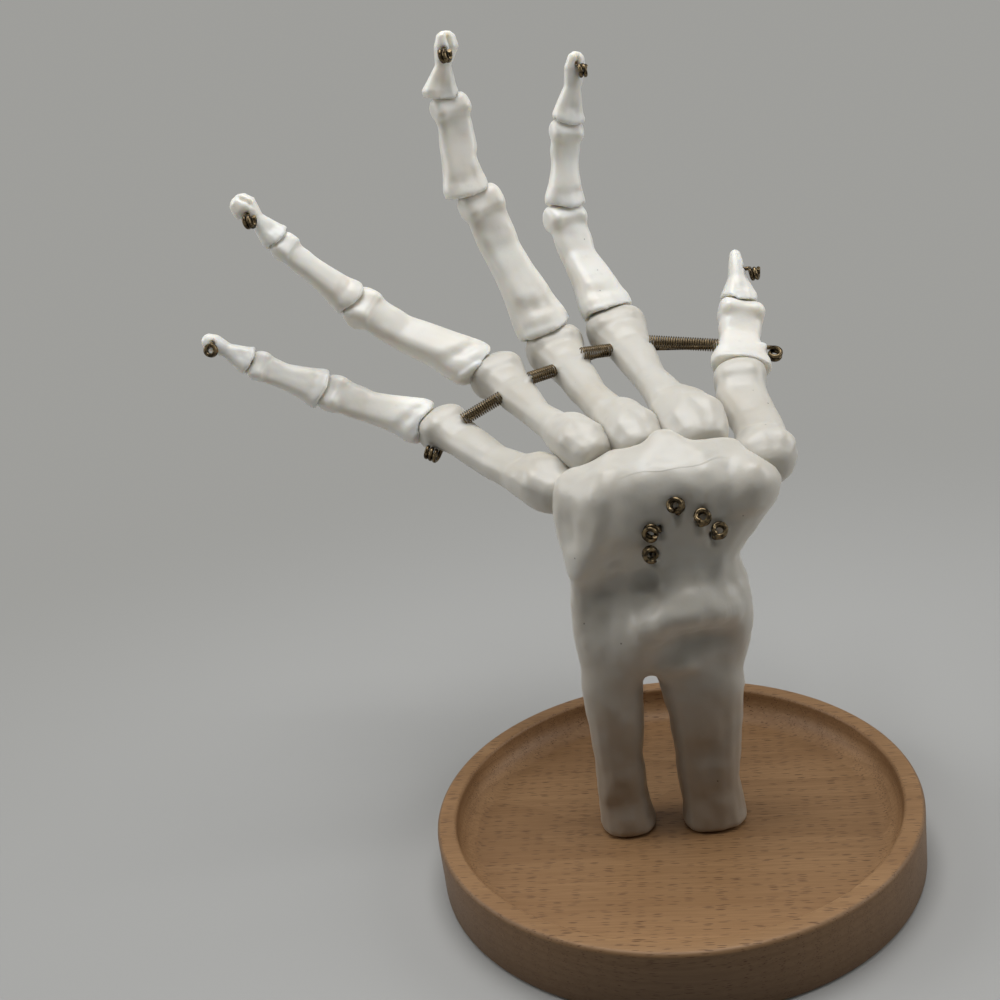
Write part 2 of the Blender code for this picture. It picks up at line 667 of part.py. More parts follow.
class Finger:
    """The frames, wire route and pieces of one finger, from the wrist to the tip."""

    def __init__(self, name):
        self.name = name
        self.bones = BONES[name]
        self.kinds = THUMB_KINDS if name == "thumb" else KINDS
        across, back, down = SEATS[name]
        joint = Vector((across, back, CROWN_Z - down))
        self.frames = []
        for bone, kind in zip(self.bones, self.kinds):
            way = heading(bone.turn, bone.rise)
            facing = PALM_WAY if kind == "metacarpal" else FINGER_WAYS[name]
            self.frames.append(frame_towards(joint, way, facing))
            joint = joint + way * bone.length

    def socket_radius(self, index):
        return self.bones[index - 1].head_radius if index else 0.0

    def place(self, index, local):
        return self.frames[index] @ Vector(local)

    def add_bones(self, look):
        self.pieces = []
        for index, (bone, kind) in enumerate(zip(self.bones, self.kinds)):
            name = f"{self.name}_{kind}"
            socket = self.socket_radius(index)
            frame = self.frames[index]
            piece = add_solid(name, bone_rings(bone, kind, socket), look, frame)
            if kind != "distal_phalanx":
                join(piece, add_guide(name + "_head", head_rings(bone, kind), frame))
            if index:
                before = self.bones[index - 1]
                rings = head_rings(before, self.kinds[index - 1], SOCKET_PLAY)
                cut(piece, add_guide(name + "_socket", rings, self.frames[index - 1]))
            self.pieces.append(piece)

    def foot_guide(self):
        rings = bone_rings(self.bones[0], "metacarpal", 0.0, SEAT_GAP)
        return add_guide(self.name + "_seat", rings, self.frames[0])

    def wire_route(self, palm_face, block_tree, tip_tree):
        """The wire's points, from its eye on the palm to its eye at the fingertip, and those
        of the run between the eyes."""
        palm = PALM_EYES[self.name]
        inwards = Vector((0, 1, 0))
        hole = palm_face(palm.across, CROWN_Z - palm.down)
        outer, palm_eye = eye_beside(block_tree, hole, -inwards, palm.beside)
        inner = hole + inwards * PALM_HOLE_DEPTH
        through = []
        for index, (bone, kind) in enumerate(zip(self.bones, self.kinds)):
            through.append(self.place(index, (0, 0, 0)))
            if kind in ("metacarpal", "proximal_phalanx"):
                through.append(self.place(index, (0, BOWS[kind], WAISTS[kind] * bone.length)))
        tip = TIP_EYES[self.name]
        turn = self.place(-1, (0, 0, tip.share * self.bones[-1].length))
        along = self.frames[-1].to_3x3() @ Vector((0, 0, 1))
        way = (tip.way - tip.way.dot(along) * along).normalized()
        if tip.standing:
            tip_eye = eye_beyond(tip_tree, turn, way, way.cross(tip.beside))
            out = [turn]
        else:
            corner, tip_eye = eye_beside(tip_tree, turn, way, tip.beside)
            out = [turn, corner]
        run = rounded([palm_eye[0], outer, inner, *through, *out, tip_eye[0]], WIRE_BEND)
        self.eye_gap = self_gap(tip_eye, WIRE_DIAMETER, EYE_POINTS // 2 + 1)
        return palm_eye[::-1] + run[1:-1] + tip_eye, run

    def hole_guide(self, palm_face):
        """The drilled hole in the palm side that the wire comes out of."""
        palm = PALM_EYES[self.name]
        face = palm_face(palm.across, CROWN_Z - palm.down)
        frame = Matrix.Translation(face) @ Matrix.Rotation(-pi / 2, 4, "X")
        rings = [circle(PALM_HOLE_RADIUS, z, HOLE_SIDES) for z in (-PALM_HOLE_DEPTH, PALM_HOLE_DEPTH)]
        return add_guide(f"{self.name}_palm_hole", rings, frame)


def palm_face_of(tree):
    def palm_face(x, z):
        point, *_ = tree.ray_cast(Vector((x, -1.0, z)), Vector((0, 1, 0)))
        return point

    return palm_face


def surface_tree(obj):
    """The surface of a piece as it stands, for seating wires and springs on it."""
    bpy.context.view_layer.update()
    graph = bpy.context.evaluated_depsgraph_get()
    mesh = obj.evaluated_get(graph).to_mesh()
    points = [obj.matrix_world @ vertex.co for vertex in mesh.vertices]
    faces = [tuple(face.vertices) for face in mesh.polygons]
    return BVHTree.FromPolygons(points, faces)


def clear_reach(tree, inside, way, radius):
    """How far along a way from a point inside a piece a tube round the way comes clear."""
    side = way.orthogonal().normalized()
    other = way.cross(side)
    reach = 0.0
    for p in circle(radius, 0, RAY_COUNT):
        start = inside + p.x * side + p.y * other + way * RAY_LENGTH
        point, _, _, distance = tree.ray_cast(start, -way, RAY_LENGTH + EYE_RADIUS)
        if point:
            reach = max(reach, RAY_LENGTH - distance)
    return reach


def spring_points(start, end):
    """A coil round the wire between two points, its ends turned in along the wire."""
    way = (end - start).normalized()
    side = way.orthogonal().normalized()
    other = way.cross(side)
    radius = (SPRING_DIAMETER - SPRING_WIRE) / 2
    stub = SPRING_WIRE
    length = (end - start).length - 2 * stub
    curls = max(2, round(length / SPRING_PITCH))
    points = [start + side * radius]
    for k in range(curls * SPRING_POINTS + 1):
        angle = tau * k / SPRING_POINTS
        around = radius * (side * cos(angle) + other * sin(angle))
        points.append(start + around + way * (stub + length * k / (curls * SPRING_POINTS)))
    points.append(end + side * radius)
    return points, curls


def main():
    clear_scene()
    bone_white = material("moulded_bone", (0.80, 0.77, 0.70), 0.38)
    beech = material("beech", (0.42, 0.21, 0.09), 0.55)
    bronze = material("antique_bronze", (0.16, 0.11, 0.06), 0.35, 1.0)
    zinc = material("zinc_steel", (0.55, 0.55, 0.52), 0.4, 1.0)

    tray = make_tray(beech)
    block = add_solid("wrist_block", block_rings(), bone_white, Matrix())
    for name, sections in STUBS.items():
        join(block, add_guide(f"{name}_stub", stub_rings(sections), Matrix()))
    cut(block, add_guide("fork_notch", notch_rings(), Matrix()))
    block_tree = surface_tree(block)
    palm_face = palm_face_of(block_tree)

    fingers = {name: Finger(name) for name in BONES}
    feet = {}
    for name, finger in fingers.items():
        finger.add_bones(bone_white)
        feet[name] = finger.foot_guide()
        cut(block, feet[name])
        cut(block, finger.hole_guide(palm_face))
    for name, beside in NEIGHBOURS:
        cut(fingers[name].pieces[0], feet[beside])

    held = [
        (fingers[name], 1 if name == "thumb" else 0, share) for name, share in CROSS_WIRE_HOLES.items()
    ]
    crossings = [
        finger.place(index, (0, -CROSS_WIRE_SHIFT, share * finger.bones[index].length))
        for finger, index, share in held
    ]
    trees = [surface_tree(finger.pieces[index]) for finger, index, _ in held]
    tip_trees = {name: surface_tree(finger.pieces[-1]) for name, finger in fingers.items()}

    for name, finger in fingers.items():
        route, run = finger.wire_route(palm_face, block_tree, tip_trees[name])
        tube(f"{name}_wire", route, WIRE_RADIUS, 1, bronze)
        print(f"{name}_wire eye: least gap to itself {finger.eye_gap * 1000:.2f} mm")
        bore = tube_guide(f"{name}_bore", run, BORE_RADIUS)
        for piece in (block, *finger.pieces):
            cut(piece, bore)

    names = list(CROSS_WIRE_HOLES)
    little_eye = eye_beyond(trees[0], crossings[0], LITTLE_END_WAY, LITTLE_EYE_AXIS)
    thumb_eye = eye_beyond(trees[-1], crossings[-1], THUMB_END_WAY, THUMB_EYE_AXIS)
    run = rounded([little_eye[0], *crossings, thumb_eye[0]], WIRE_BEND)
    route = little_eye[::-1] + run[1:-1] + thumb_eye
    tube("cross_wire", route, WIRE_RADIUS, 1, bronze)
    bore = tube_guide("cross_bore", run, BORE_RADIUS)
    for finger, index, _ in held:
        cut(finger.pieces[index], bore)

    radius = SPRING_DIAMETER / 2
    for k, (near, far) in enumerate(zip(crossings, crossings[1:])):
        way = (far - near).normalized()
        start = near + way * (clear_reach(trees[k], near, way, radius) + SEAT_GAP)
        end = far - way * (clear_reach(trees[k + 1], far, -way, radius) + SEAT_GAP)
        points, curls = spring_points(start, end)
        name = f"spring_{names[k]}_to_{names[k + 1]}"
        tube(name, points, SPRING_WIRE / 2, 1, bronze)
        gap = self_gap(points, SPRING_WIRE, SPRING_POINTS // 2 + 1)
        print(f"{name}: {curls} curls, least gap to itself {gap * 1000:.2f} mm")

    for name, sections in STUBS.items():
        place = Matrix.Translation((stub_middle(sections), 0, 0))
        add_solid(f"{name}_screw", turned(screw_profile(0.0), SCREW_SIDES), zinc, place)
        hole = add_guide(f"{name}_screw_hole", turned(screw_profile(SEAT_GAP), SCREW_SIDES), place)
        cut(tray, hole)
        cut(block, hole)


main()
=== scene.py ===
import json
from math import cos, pi, radians, sin, tan, tau

import bmesh
import bpy
import numpy as np
from mathutils import Matrix, Vector, noise
from mathutils.bvhtree import BVHTree


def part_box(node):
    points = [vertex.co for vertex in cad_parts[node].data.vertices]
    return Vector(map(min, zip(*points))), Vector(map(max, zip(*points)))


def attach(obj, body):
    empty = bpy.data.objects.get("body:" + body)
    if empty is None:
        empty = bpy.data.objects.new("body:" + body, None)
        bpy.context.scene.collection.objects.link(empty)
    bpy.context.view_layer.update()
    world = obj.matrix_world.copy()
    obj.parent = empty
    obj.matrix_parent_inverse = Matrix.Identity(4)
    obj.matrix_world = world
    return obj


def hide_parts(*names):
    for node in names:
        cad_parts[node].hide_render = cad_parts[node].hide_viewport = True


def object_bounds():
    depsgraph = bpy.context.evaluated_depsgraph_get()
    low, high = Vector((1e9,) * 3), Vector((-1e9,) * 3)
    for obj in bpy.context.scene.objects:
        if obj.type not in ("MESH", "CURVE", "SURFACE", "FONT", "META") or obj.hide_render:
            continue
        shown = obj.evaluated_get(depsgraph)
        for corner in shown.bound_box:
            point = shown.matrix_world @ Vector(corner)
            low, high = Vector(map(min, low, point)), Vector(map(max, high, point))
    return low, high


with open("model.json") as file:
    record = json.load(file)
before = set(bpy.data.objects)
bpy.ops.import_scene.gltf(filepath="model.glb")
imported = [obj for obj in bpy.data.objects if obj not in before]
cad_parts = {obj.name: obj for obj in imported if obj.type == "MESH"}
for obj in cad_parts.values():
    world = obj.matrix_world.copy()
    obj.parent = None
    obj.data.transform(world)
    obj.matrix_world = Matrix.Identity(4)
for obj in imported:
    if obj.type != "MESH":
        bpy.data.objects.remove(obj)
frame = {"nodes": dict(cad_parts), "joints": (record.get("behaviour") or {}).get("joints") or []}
solid_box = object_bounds()
nodes = frame["nodes"]
joints = {joint["name"]: joint for joint in frame["joints"]}

# The camera stands in front of the tray and looks slightly down and to the left, from where
# the whole hand is seen palm on.
CAMERA_PLACE = Vector((0.0, -0.28206, 0.19758))
CAMERA_RIGHT = Vector((0.9877, 0.0778, -0.1357))
CAMERA_UP = Vector((0.1037, 0.3239, 0.9404))
CAMERA_LENS = 43.2


def into_scene(name, data):
    """An object in the scene from its data."""
    made = bpy.data.objects.new(name, data)
    bpy.context.scene.collection.objects.link(made)
    return made


camera_data = bpy.data.cameras.new("camera")
camera_data.lens = CAMERA_LENS
camera_data.sensor_width = 36.0
camera_data.clip_start = 0.01
camera = into_scene("camera", camera_data)
camera_back = CAMERA_RIGHT.cross(CAMERA_UP)
camera_turn = Matrix((CAMERA_RIGHT, CAMERA_UP, camera_back)).transposed().to_4x4()
camera.matrix_world = Matrix.Translation(CAMERA_PLACE) @ camera_turn
bpy.context.scene.camera = camera
bpy.context.scene.view_settings.view_transform = "Standard"

# A soft box hangs above the hand and one stands at each side, so that its top and its edges
# are bright and the palm side is in its own shade. The floor is plain pale paper.
LIGHTS = (
    ("top_light", Vector((0.0, 0.05, 0.85)), 0.50, 4.9),
    ("left_light", Vector((-0.80, 0.08, 0.55)), 0.60, 3.5),
    ("right_light", Vector((0.85, 0.02, 0.50)), 0.60, 3.5),
)
LIGHT_AIM = Vector((0.0, 0.02, 0.11))
WORLD_COLOUR = (1.0, 0.995, 0.95)
WORLD_LEVEL = 0.03
BACKDROP_LEVEL = 0.345
FLOOR_REACH = 6.0
FLOOR_COLOUR = (0.40, 0.40, 0.39)
FLOOR_NEAR = 0.10
FLOOR_FAR = 0.45

for name, place, size, watts in LIGHTS:
    light_data = bpy.data.lights.new(name, "AREA")
    light_data.shape = "SQUARE"
    light_data.size = size
    light_data.energy = watts
    light = into_scene(name, light_data)
    turn = (place - LIGHT_AIM).to_track_quat("Z", "Y").to_matrix().to_4x4()
    light.matrix_world = Matrix.Translation(place) @ turn


class Value:
    """A shader socket that Python's arithmetic works on, each operator adding a Math node."""

    def __init__(self, tree, socket):
        self.tree = tree
        self.socket = socket

    def node(self, kind, settings, inputs, output=0):
        """Adds a node: its settings are set first, then the values or links of its sockets."""
        made = self.tree.nodes.new("ShaderNode" + kind)
        for name, value in settings.items():
            setattr(made, name, value)
        for key, value in inputs.items():
            if isinstance(value, Value):
                self.tree.links.new(value.socket, made.inputs[key])
            elif isinstance(value, tuple) and len(value) == 3 and made.inputs[key].type == "RGBA":
                made.inputs[key].default_value = (*value, 1.0)
            else:
                made.inputs[key].default_value = value
        return Value(self.tree, made.outputs[output])

    def maths(self, operation, other):
        return self.node("Math", {"operation": operation}, {0: self, 1: other})

    def __add__(self, other):
        return self.maths("ADD", other)

    def __mul__(self, other):
        return self.maths("MULTIPLY", other)

    def __sub__(self, other):
        return self.maths("SUBTRACT", other)

    def __rsub__(self, other):
        return self.node("Math", {"operation": "SUBTRACT"}, {0: other, 1: self})

    __radd__ = __add__

    def over(self, low, high):
        """How far this is from low to high, kept between 0 and 1."""
        inputs = {"Value": self, "From Min": low, "From Max": high}
        return self.node("MapRange", {"interpolation_type": "SMOOTHSTEP"}, inputs)

    def scaled(self, stretch, turn=(0.0, 0.0, 0.0), shift=(0.0, 0.0, 0.0)):
        """This place, shifted, turned and stretched for a pattern."""
        inputs = {"Vector": self, "Location": shift, "Rotation": turn, "Scale": stretch}
        return self.node("Mapping", {}, inputs)

    def noise(self, scale, detail=2.0, roughness=0.5):
        inputs = {"Vector": self, "Scale": scale, "Detail": detail, "Roughness": roughness}
        return self.node("TexNoise", {}, inputs)

    def cells(self, scale):
        """Scattered cells: how far this is from its cell's middle, and a random number for it."""
        inputs = {"Vector": self, "Scale": scale, "Randomness": 1.0}
        away = self.node("TexVoronoi", {}, inputs)
        pick = self.node("TexVoronoi", {}, inputs, output=1)
        return away, self.node("SeparateColor", {}, {"Color": pick})

    def length(self):
        """How far this place is from the middle."""
        return self.node("VectorMath", {"operation": "LENGTH"}, {0: self}, "Value")

    def seen(self):
        """1 where a ray comes from the camera or from a shiny or clear surface, else 0."""
        names = ("Is Camera Ray", "Is Glossy Ray", "Is Transmission Ray")
        rays = sum(self.node("LightPath", {}, {}, output=name) for name in names)
        return rays.maths("MINIMUM", 1.0)

    def blend(self, below, above):
        """The colour from below to above, as this goes from 0 to 1."""
        return self.node("Mix", {"data_type": "RGBA"}, {0: self, 6: below, 7: above}, output=2)


class Finish:
    """A material with one Principled shader, and the place on the piece to paint by."""

    def __init__(self, name, **values):
        self.material = bpy.data.materials.new(name)
        self.material.use_nodes = True
        tree = self.material.node_tree
        self.shader = tree.nodes["Principled BSDF"]
        start = tree.nodes.new("ShaderNodeTexCoord")
        self.place = Value(tree, start.outputs["Object"])
        self.paint(**values)

    def paint(self, **values):
        """Sets or links sockets of the shader by their names."""
        for name, value in values.items():
            socket = self.shader.inputs[name.replace("_", " ").title().replace("Ior", "IOR")]
            if isinstance(value, Value):
                self.shader.id_data.links.new(value.socket, socket)
            elif socket.type == "RGBA":
                socket.default_value = (*value, 1.0)
            else:
                socket.default_value = value

    def surface(self):
        """The plain Principled surface, to mix with another."""
        return Value(self.shader.id_data, self.shader.outputs[0])

    def cover(self, surface):
        """Puts another surface in place of the plain Principled one."""
        tree = self.shader.id_data
        tree.links.new(surface.socket, tree.nodes["Material Output"].inputs["Surface"])

    def bump(self, height, distance, strength):
        inputs = {"Height": height, "Distance": distance, "Strength": strength}
        self.paint(normal=self.place.node("Bump", {}, inputs))


def place_mesh(name, bm):
    """An object in the scene from a bmesh."""
    mesh = bpy.data.meshes.new(name)
    bm.to_mesh(mesh)
    bm.free()
    return into_scene(name, mesh)


world = bpy.data.worlds.new("studio")
world.use_nodes = True
sky = world.node_tree.nodes["Background"]
sky.inputs["Color"].default_value = (*WORLD_COLOUR, 1.0)
level = Value(world.node_tree, None).seen() * (BACKDROP_LEVEL - WORLD_LEVEL) + WORLD_LEVEL
world.node_tree.links.new(level.socket, sky.inputs["Strength"])
bpy.context.scene.world = world

paper = Finish("backdrop_paper", base_color=FLOOR_COLOUR, roughness=0.9)
reach = paper.place.length()
backdrop_colour = tuple(BACKDROP_LEVEL * share for share in WORLD_COLOUR)
glow = paper.place.node("Emission", {}, {"Color": backdrop_colour})
fade = reach.over(FLOOR_NEAR, FLOOR_FAR) * paper.place.seen()
run_out = paper.place.node("MixShader", {}, {0: fade, 1: paper.surface(), 2: glow})
paper.cover(run_out)
sheet = bmesh.new()
bmesh.ops.create_grid(sheet, x_segments=1, y_segments=1, size=FLOOR_REACH)
floor = place_mesh("floor", sheet)
floor.data.materials.append(paper.material)

# The tray is one disc of steamed beech, turned on a lathe with a flat rim and a coved recess,
# sanded and left with a thin oil finish. The grain runs across from side to side.
RIM_WIDTH = 0.0052
RECESS_FLOOR = 0.0085
COVE_RADIUS = 0.0065
TRAY_EDGE_ROUND = 0.0012
TRAY_STEPS = 200
RIM_INNER_ROUND = 0.00096
SCREW_HEAD_RADIUS = 0.0036
SCREW_HEAD_AIR = 0.0006
SCREW_SINK = 0.0028
SCREW_SINK_START = -0.0002
SCREW_HOLE_RADIUS = 0.0020
GRAIN_TURN = radians(3)
GROWTH_LINES = 420.0
# How many times a metre each pattern repeats along the grain, across it and up
PLANK_GRAIN = (4.0, 60.0, 60.0)
FIBRE_GRAIN = (60.0, 1500.0, 1500.0)
CELL_GRAIN = (250.0, 2700.0, 3000.0)
RING_SWAY = (5.0, 20.0, 20.0)
# How deep under the wall its darker tone starts and ends
WALL_SKIN = (0.0010, 0.0003)
FLECK_DEPTH = 0.00012
BEECH_PALE = (0.325, 0.188, 0.088)
BEECH_DARK = (0.215, 0.114, 0.048)
BEECH_FLECK = (0.085, 0.036, 0.013)
BEECH_WALL_SHADE = (0.085, 0.050, 0.025)


def add_piece(name, bm, finish, slot, body, *replaced):
    """A finished piece from a bmesh: at the origin, in its material, riding on its body."""
    return dress(place_mesh(name, bm), finish, slot, body, *replaced)


def dress(piece, finish, slot, body, *replaced):
    """Gives an object its material, its body and the node that it stands for."""
    piece.data.materials.clear()
    piece.data.materials.append(finish.material)
    piece.data.shade_smooth()
    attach(piece, body)
    if replaced:
        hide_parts(*replaced)
    return piece


def made_mesh(obj):
    """The mesh that an object's modifiers, or a curve's bevel, make."""
    bpy.context.view_layer.update()
    graph = bpy.context.evaluated_depsgraph_get()
    return bpy.data.meshes.new_from_object(obj.evaluated_get(graph))


def settle(piece):
    """Applies a piece's modifiers."""
    mesh = made_mesh(piece)
    piece.modifiers.clear()
    piece.data = mesh


def cut_away(piece, bm, name, crossing=False):
    """Cuts a bmesh's shape out of a piece. Where parts of that shape cross, crossing is True."""
    bit = place_mesh(name, bm)
    cut = piece.modifiers.new(name, "BOOLEAN")
    cut.operation = "DIFFERENCE"
    cut.use_self = crossing
    cut.object = bit
    settle(piece)
    bpy.data.objects.remove(bit, do_unlink=True)


def arc(middle_r, middle_z, radius, start, end, steps):
    """Points (r, z) of an arc in a turned outline, from one angle to another in degrees."""
    angles = [radians(start + (end - start) * k / steps) for k in range(steps + 1)]
    return [(middle_r + radius * cos(a), middle_z + radius * sin(a)) for a in angles]


def turn_outline(outline, steps):
    """A closed body spun from an outline (r, z) that runs from the axis back to it."""
    bm = bmesh.new()
    verts = [bm.verts.new((r, 0.0, z)) for r, z in outline]
    edges = [bm.edges.new(pair) for pair in zip(verts, verts[1:])]
    bmesh.ops.spin(
        bm,
        geom=verts + edges,
        cent=(0, 0, 0),
        axis=(0, 0, 1),
        dvec=(0, 0, 0),
        angle=tau,
        steps=steps,
        use_merge=True,
    )
    bmesh.ops.remove_doubles(bm, verts=bm.verts, dist=1e-6)
    bmesh.ops.recalc_face_normals(bm, faces=bm.faces)
    return bm


low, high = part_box("tray")
tray_radius = high.x
tray_height = high.z
inner_radius = tray_radius - RIM_WIDTH
edge, inner = TRAY_EDGE_ROUND, RIM_INNER_ROUND
outline = [(0.0, RECESS_FLOOR)]
outline += [(inner_radius * share, RECESS_FLOOR) for share in (0.25, 0.5, 0.7)]
outline += arc(inner_radius - COVE_RADIUS, RECESS_FLOOR + COVE_RADIUS, COVE_RADIUS, -90, -4, 14)
outline += arc(inner_radius + inner, tray_height - inner, inner, 180, 90, 5)
outline += arc(tray_radius - edge, tray_height - edge, edge, 90, 0, 6)
outline += [(tray_radius, tray_height * share) for share in (0.66, 0.33)]
outline += arc(tray_radius - edge, edge, edge, 0, -90, 6)
outline += [(inner_radius * 0.6, 0.0), (0.0, 0.0)]

beech = Finish("oiled_beech")
grain = beech.place.scaled((1.0, 1.0, 1.0), turn=(0.0, 0.0, GRAIN_TURN))
plank = grain.scaled(PLANK_GRAIN).noise(1.0, 3.0)
fibre = grain.scaled(FIBRE_GRAIN).noise(1.0, 4.0, 0.7)
away, pick = grain.scaled(CELL_GRAIN).cells(1.0)
fleck = (1 - away.over(0.24, 0.38)) * pick.over(0.50, 0.56)
rise = grain.node("SeparateXYZ", {}, {0: grain}, output=2)
sway = grain.scaled(RING_SWAY, shift=(0.3, 0.1, 0.2)).noise(1.0, 2.0)
ring = (rise * GROWTH_LINES + sway * 5.0).maths("FRACT", 0.0)
tone = (plank * 0.8 + fibre * 0.9 - 0.35).over(0.15, 0.85)
colour = tone.blend(BEECH_DARK, BEECH_PALE)
colour = (ring.over(0.45, 1.0) * 0.45).blend(colour, BEECH_DARK)
# Painted shade: the turned wall is darkened, most of all towards its foot, for the shade on the
# upright side under the lamps above
spread = grain.scaled((1.0, 1.0, 0.0)).length()
wall = spread.over(*(tray_radius - skin for skin in WALL_SKIN))
colour = (wall * (0.70 - rise.over(0.0, tray_height) * 0.25)).blend(colour, BEECH_WALL_SHADE)
colour = (fleck * 0.85).blend(colour, BEECH_FLECK)
beech.paint(base_color=colour, roughness=0.60 - fibre * 0.18, specular_ior_level=0.35)
beech.bump(fibre * 0.4 - fleck, FLECK_DEPTH, 0.35)

tray = add_piece("turned_tray", turn_outline(outline, TRAY_STEPS), beech, "beech", "stand", "tray")
for side in ("ulna", "radius"):
    near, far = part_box(f"{side}_screw")
    drill = bmesh.new()
    middle = Vector(((near.x + far.x) / 2, (near.y + far.y) / 2, 0.0))
    bmesh.ops.create_cone(
        drill,
        cap_ends=True,
        segments=48,
        radius1=SCREW_HEAD_RADIUS + SCREW_HEAD_AIR,
        radius2=SCREW_HOLE_RADIUS,
        depth=SCREW_SINK,
        matrix=Matrix.Translation(middle + Vector((0, 0, SCREW_SINK / 2 + SCREW_SINK_START))),
    )
    cut_away(tray, drill, "countersink")
tray.data.set_sharp_from_angle(angle=radians(40))

# Two zinc-plated countersunk wood screws come up through the tray into the forearm stubs.
# Their heads sit just inside the underside, each with a cross recess.
CROSS_WIDTH = 0.0009
CROSS_REACH = 0.0042
CROSS_DEPTH = 0.0013
SCREW_HEAD_RIM = 0.0006
SCREW_HEAD_BEVEL = 0.0002
SCREW_NECK_RISE = 0.0024
SCREW_POINT = 0.0040
SCREW_SHANK_AIR = 0.0003
SCREW_STEPS = 48
ZINC = (0.46, 0.46, 0.44)
ZINC_BRIGHT = (0.60, 0.60, 0.58)

zinc = Finish("zinc_plate", metallic=1.0)
wear = zinc.place.noise(900.0, 3.0)
zinc.paint(base_color=wear.blend(ZINC, ZINC_BRIGHT), roughness=wear * 0.25 + 0.25)
for side in ("ulna", "radius"):
    near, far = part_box(f"{side}_screw")
    middle = Matrix.Translation(((near.x + far.x) / 2, (near.y + far.y) / 2, near.z))
    length = far.z - near.z
    head = (far.x - near.x) / 2
    shank = SCREW_HOLE_RADIUS - SCREW_SHANK_AIR
    outline = [(0.0, 0.0), (head * 0.96, 0.0), (head, SCREW_HEAD_BEVEL), (head, SCREW_HEAD_RIM)]
    outline += [(shank, SCREW_NECK_RISE), (shank, length - SCREW_POINT)]
    outline += [(shank * 0.2, length), (0.0, length)]
    screw = turn_outline(outline, SCREW_STEPS)
    bmesh.ops.transform(screw, matrix=middle, verts=screw.verts)
    piece = add_piece(f"{side}_wood_screw", screw, zinc, "zinc_steel", "stand", f"{side}_screw")
    cross = bmesh.new()
    for size in ((CROSS_REACH, CROSS_WIDTH, CROSS_DEPTH), (CROSS_WIDTH, CROSS_REACH, CROSS_DEPTH)):
        slot_shape = middle @ Matrix.Diagonal((*size, 1.0))
        bmesh.ops.create_cube(cross, size=1.0, matrix=slot_shape)
    cut_away(piece, cross, "cross_recess", crossing=True)
    piece.data.set_sharp_from_angle(angle=radians(35))

# The wrist block is one solid casting in off-white plastic: the carpal bones run together,
# the two forearm stubs below, and a fine parting line left by the mould across its crown.
BLOCK_VOXEL = 0.00055
FACING_GAIN = 1.7
RUB_ROUNDS = 90
CROWN_OVER_FORK = 0.0620
RUB_IN = 0.50
RUB_OUT = -0.515
SECOND_RUB_ROUNDS = 12
WASH_ROUNDS = 24
WASH_SHARE = 0.6
BLOCK_GLOW_DEPTH = 0.0015
BONE_GLOW_DEPTH = 0.0035
# The one plastic in two copies: whiter with painted light for the phalanges, darker with painted
# shade for the block and the metacarpals
BONE_WHITE_LIT = (0.860, 0.848, 0.800)
BONE_PALE_SHADED = (0.640, 0.620, 0.565)
BONE_CREAM_LIT = (0.760, 0.725, 0.650)
BONE_WARM_SHADED = (0.570, 0.530, 0.455)
BONE_GREY = (0.420, 0.395, 0.345)
# Painted shade for the stubs under the block
BONE_PAINTED_SHADE = (0.270, 0.222, 0.168)
# The dark of the small pits, and of the painted shade in deep hollows
PIT_AND_SHADE_DARK = (0.090, 0.075, 0.055)
MOULD_LINE_RISE = 0.0550
MOULD_LINE_SWAY = 0.006
MOULD_LINE_EDGE = (0.00008, 0.00028)
# Where the line fades in and out across the crown, and towards the back
MOULD_LINE_START = (-0.006, -0.002)
MOULD_LINE_END = (0.018, 0.023)
MOULD_LINE_BACK = (-0.001, 0.001)
PLASTIC_RELIEF = 0.00010
# How many times a metre each pattern of the plastic repeats
CLOUDS = 60.0
SMUDGES = 230.0
PITS = 340.0
SKIN_GRAIN = 900.0
# Painted shade: the plastic is darkened below the second height, most of all below the first, for
# the shade that the stubs stand in under the block
STUB_SHADE_FADE = (0.015, 0.092)
MOUTH_LENGTH = 0.0022
MOUTH_REACH = 0.0009
MOUTH_DEPTH = 0.0013
# Where each finger's wire comes out of the palm: across, down from the crown, the way from the
# hole to the eye beside it, and how the eye is tilted
PALM_EYES = {
    "thumb": (0.0161, 0.0241, Vector((0.7, 0.0, 0.7)), Vector((0.40, 0.0, 0.75))),
    "forefinger": (0.0129, 0.0204, Vector((0.5, 0.0, 0.87)), Vector((-0.30, 0.0, 0.75))),
    "long_finger": (0.0080, 0.0172, Vector((0.0, 0.0, 1.0)), Vector((-0.25, 0.0, 0.70))),
    "ring_finger": (0.0034, 0.0210, Vector((-1.0, 0.0, 0.1)), Vector((-0.55, 0.0, 0.0))),
    "little_finger": (0.0014, 0.0282, Vector((-0.5, 0.0, 0.87)), Vector((0.05, 0.0, -0.45))),
}


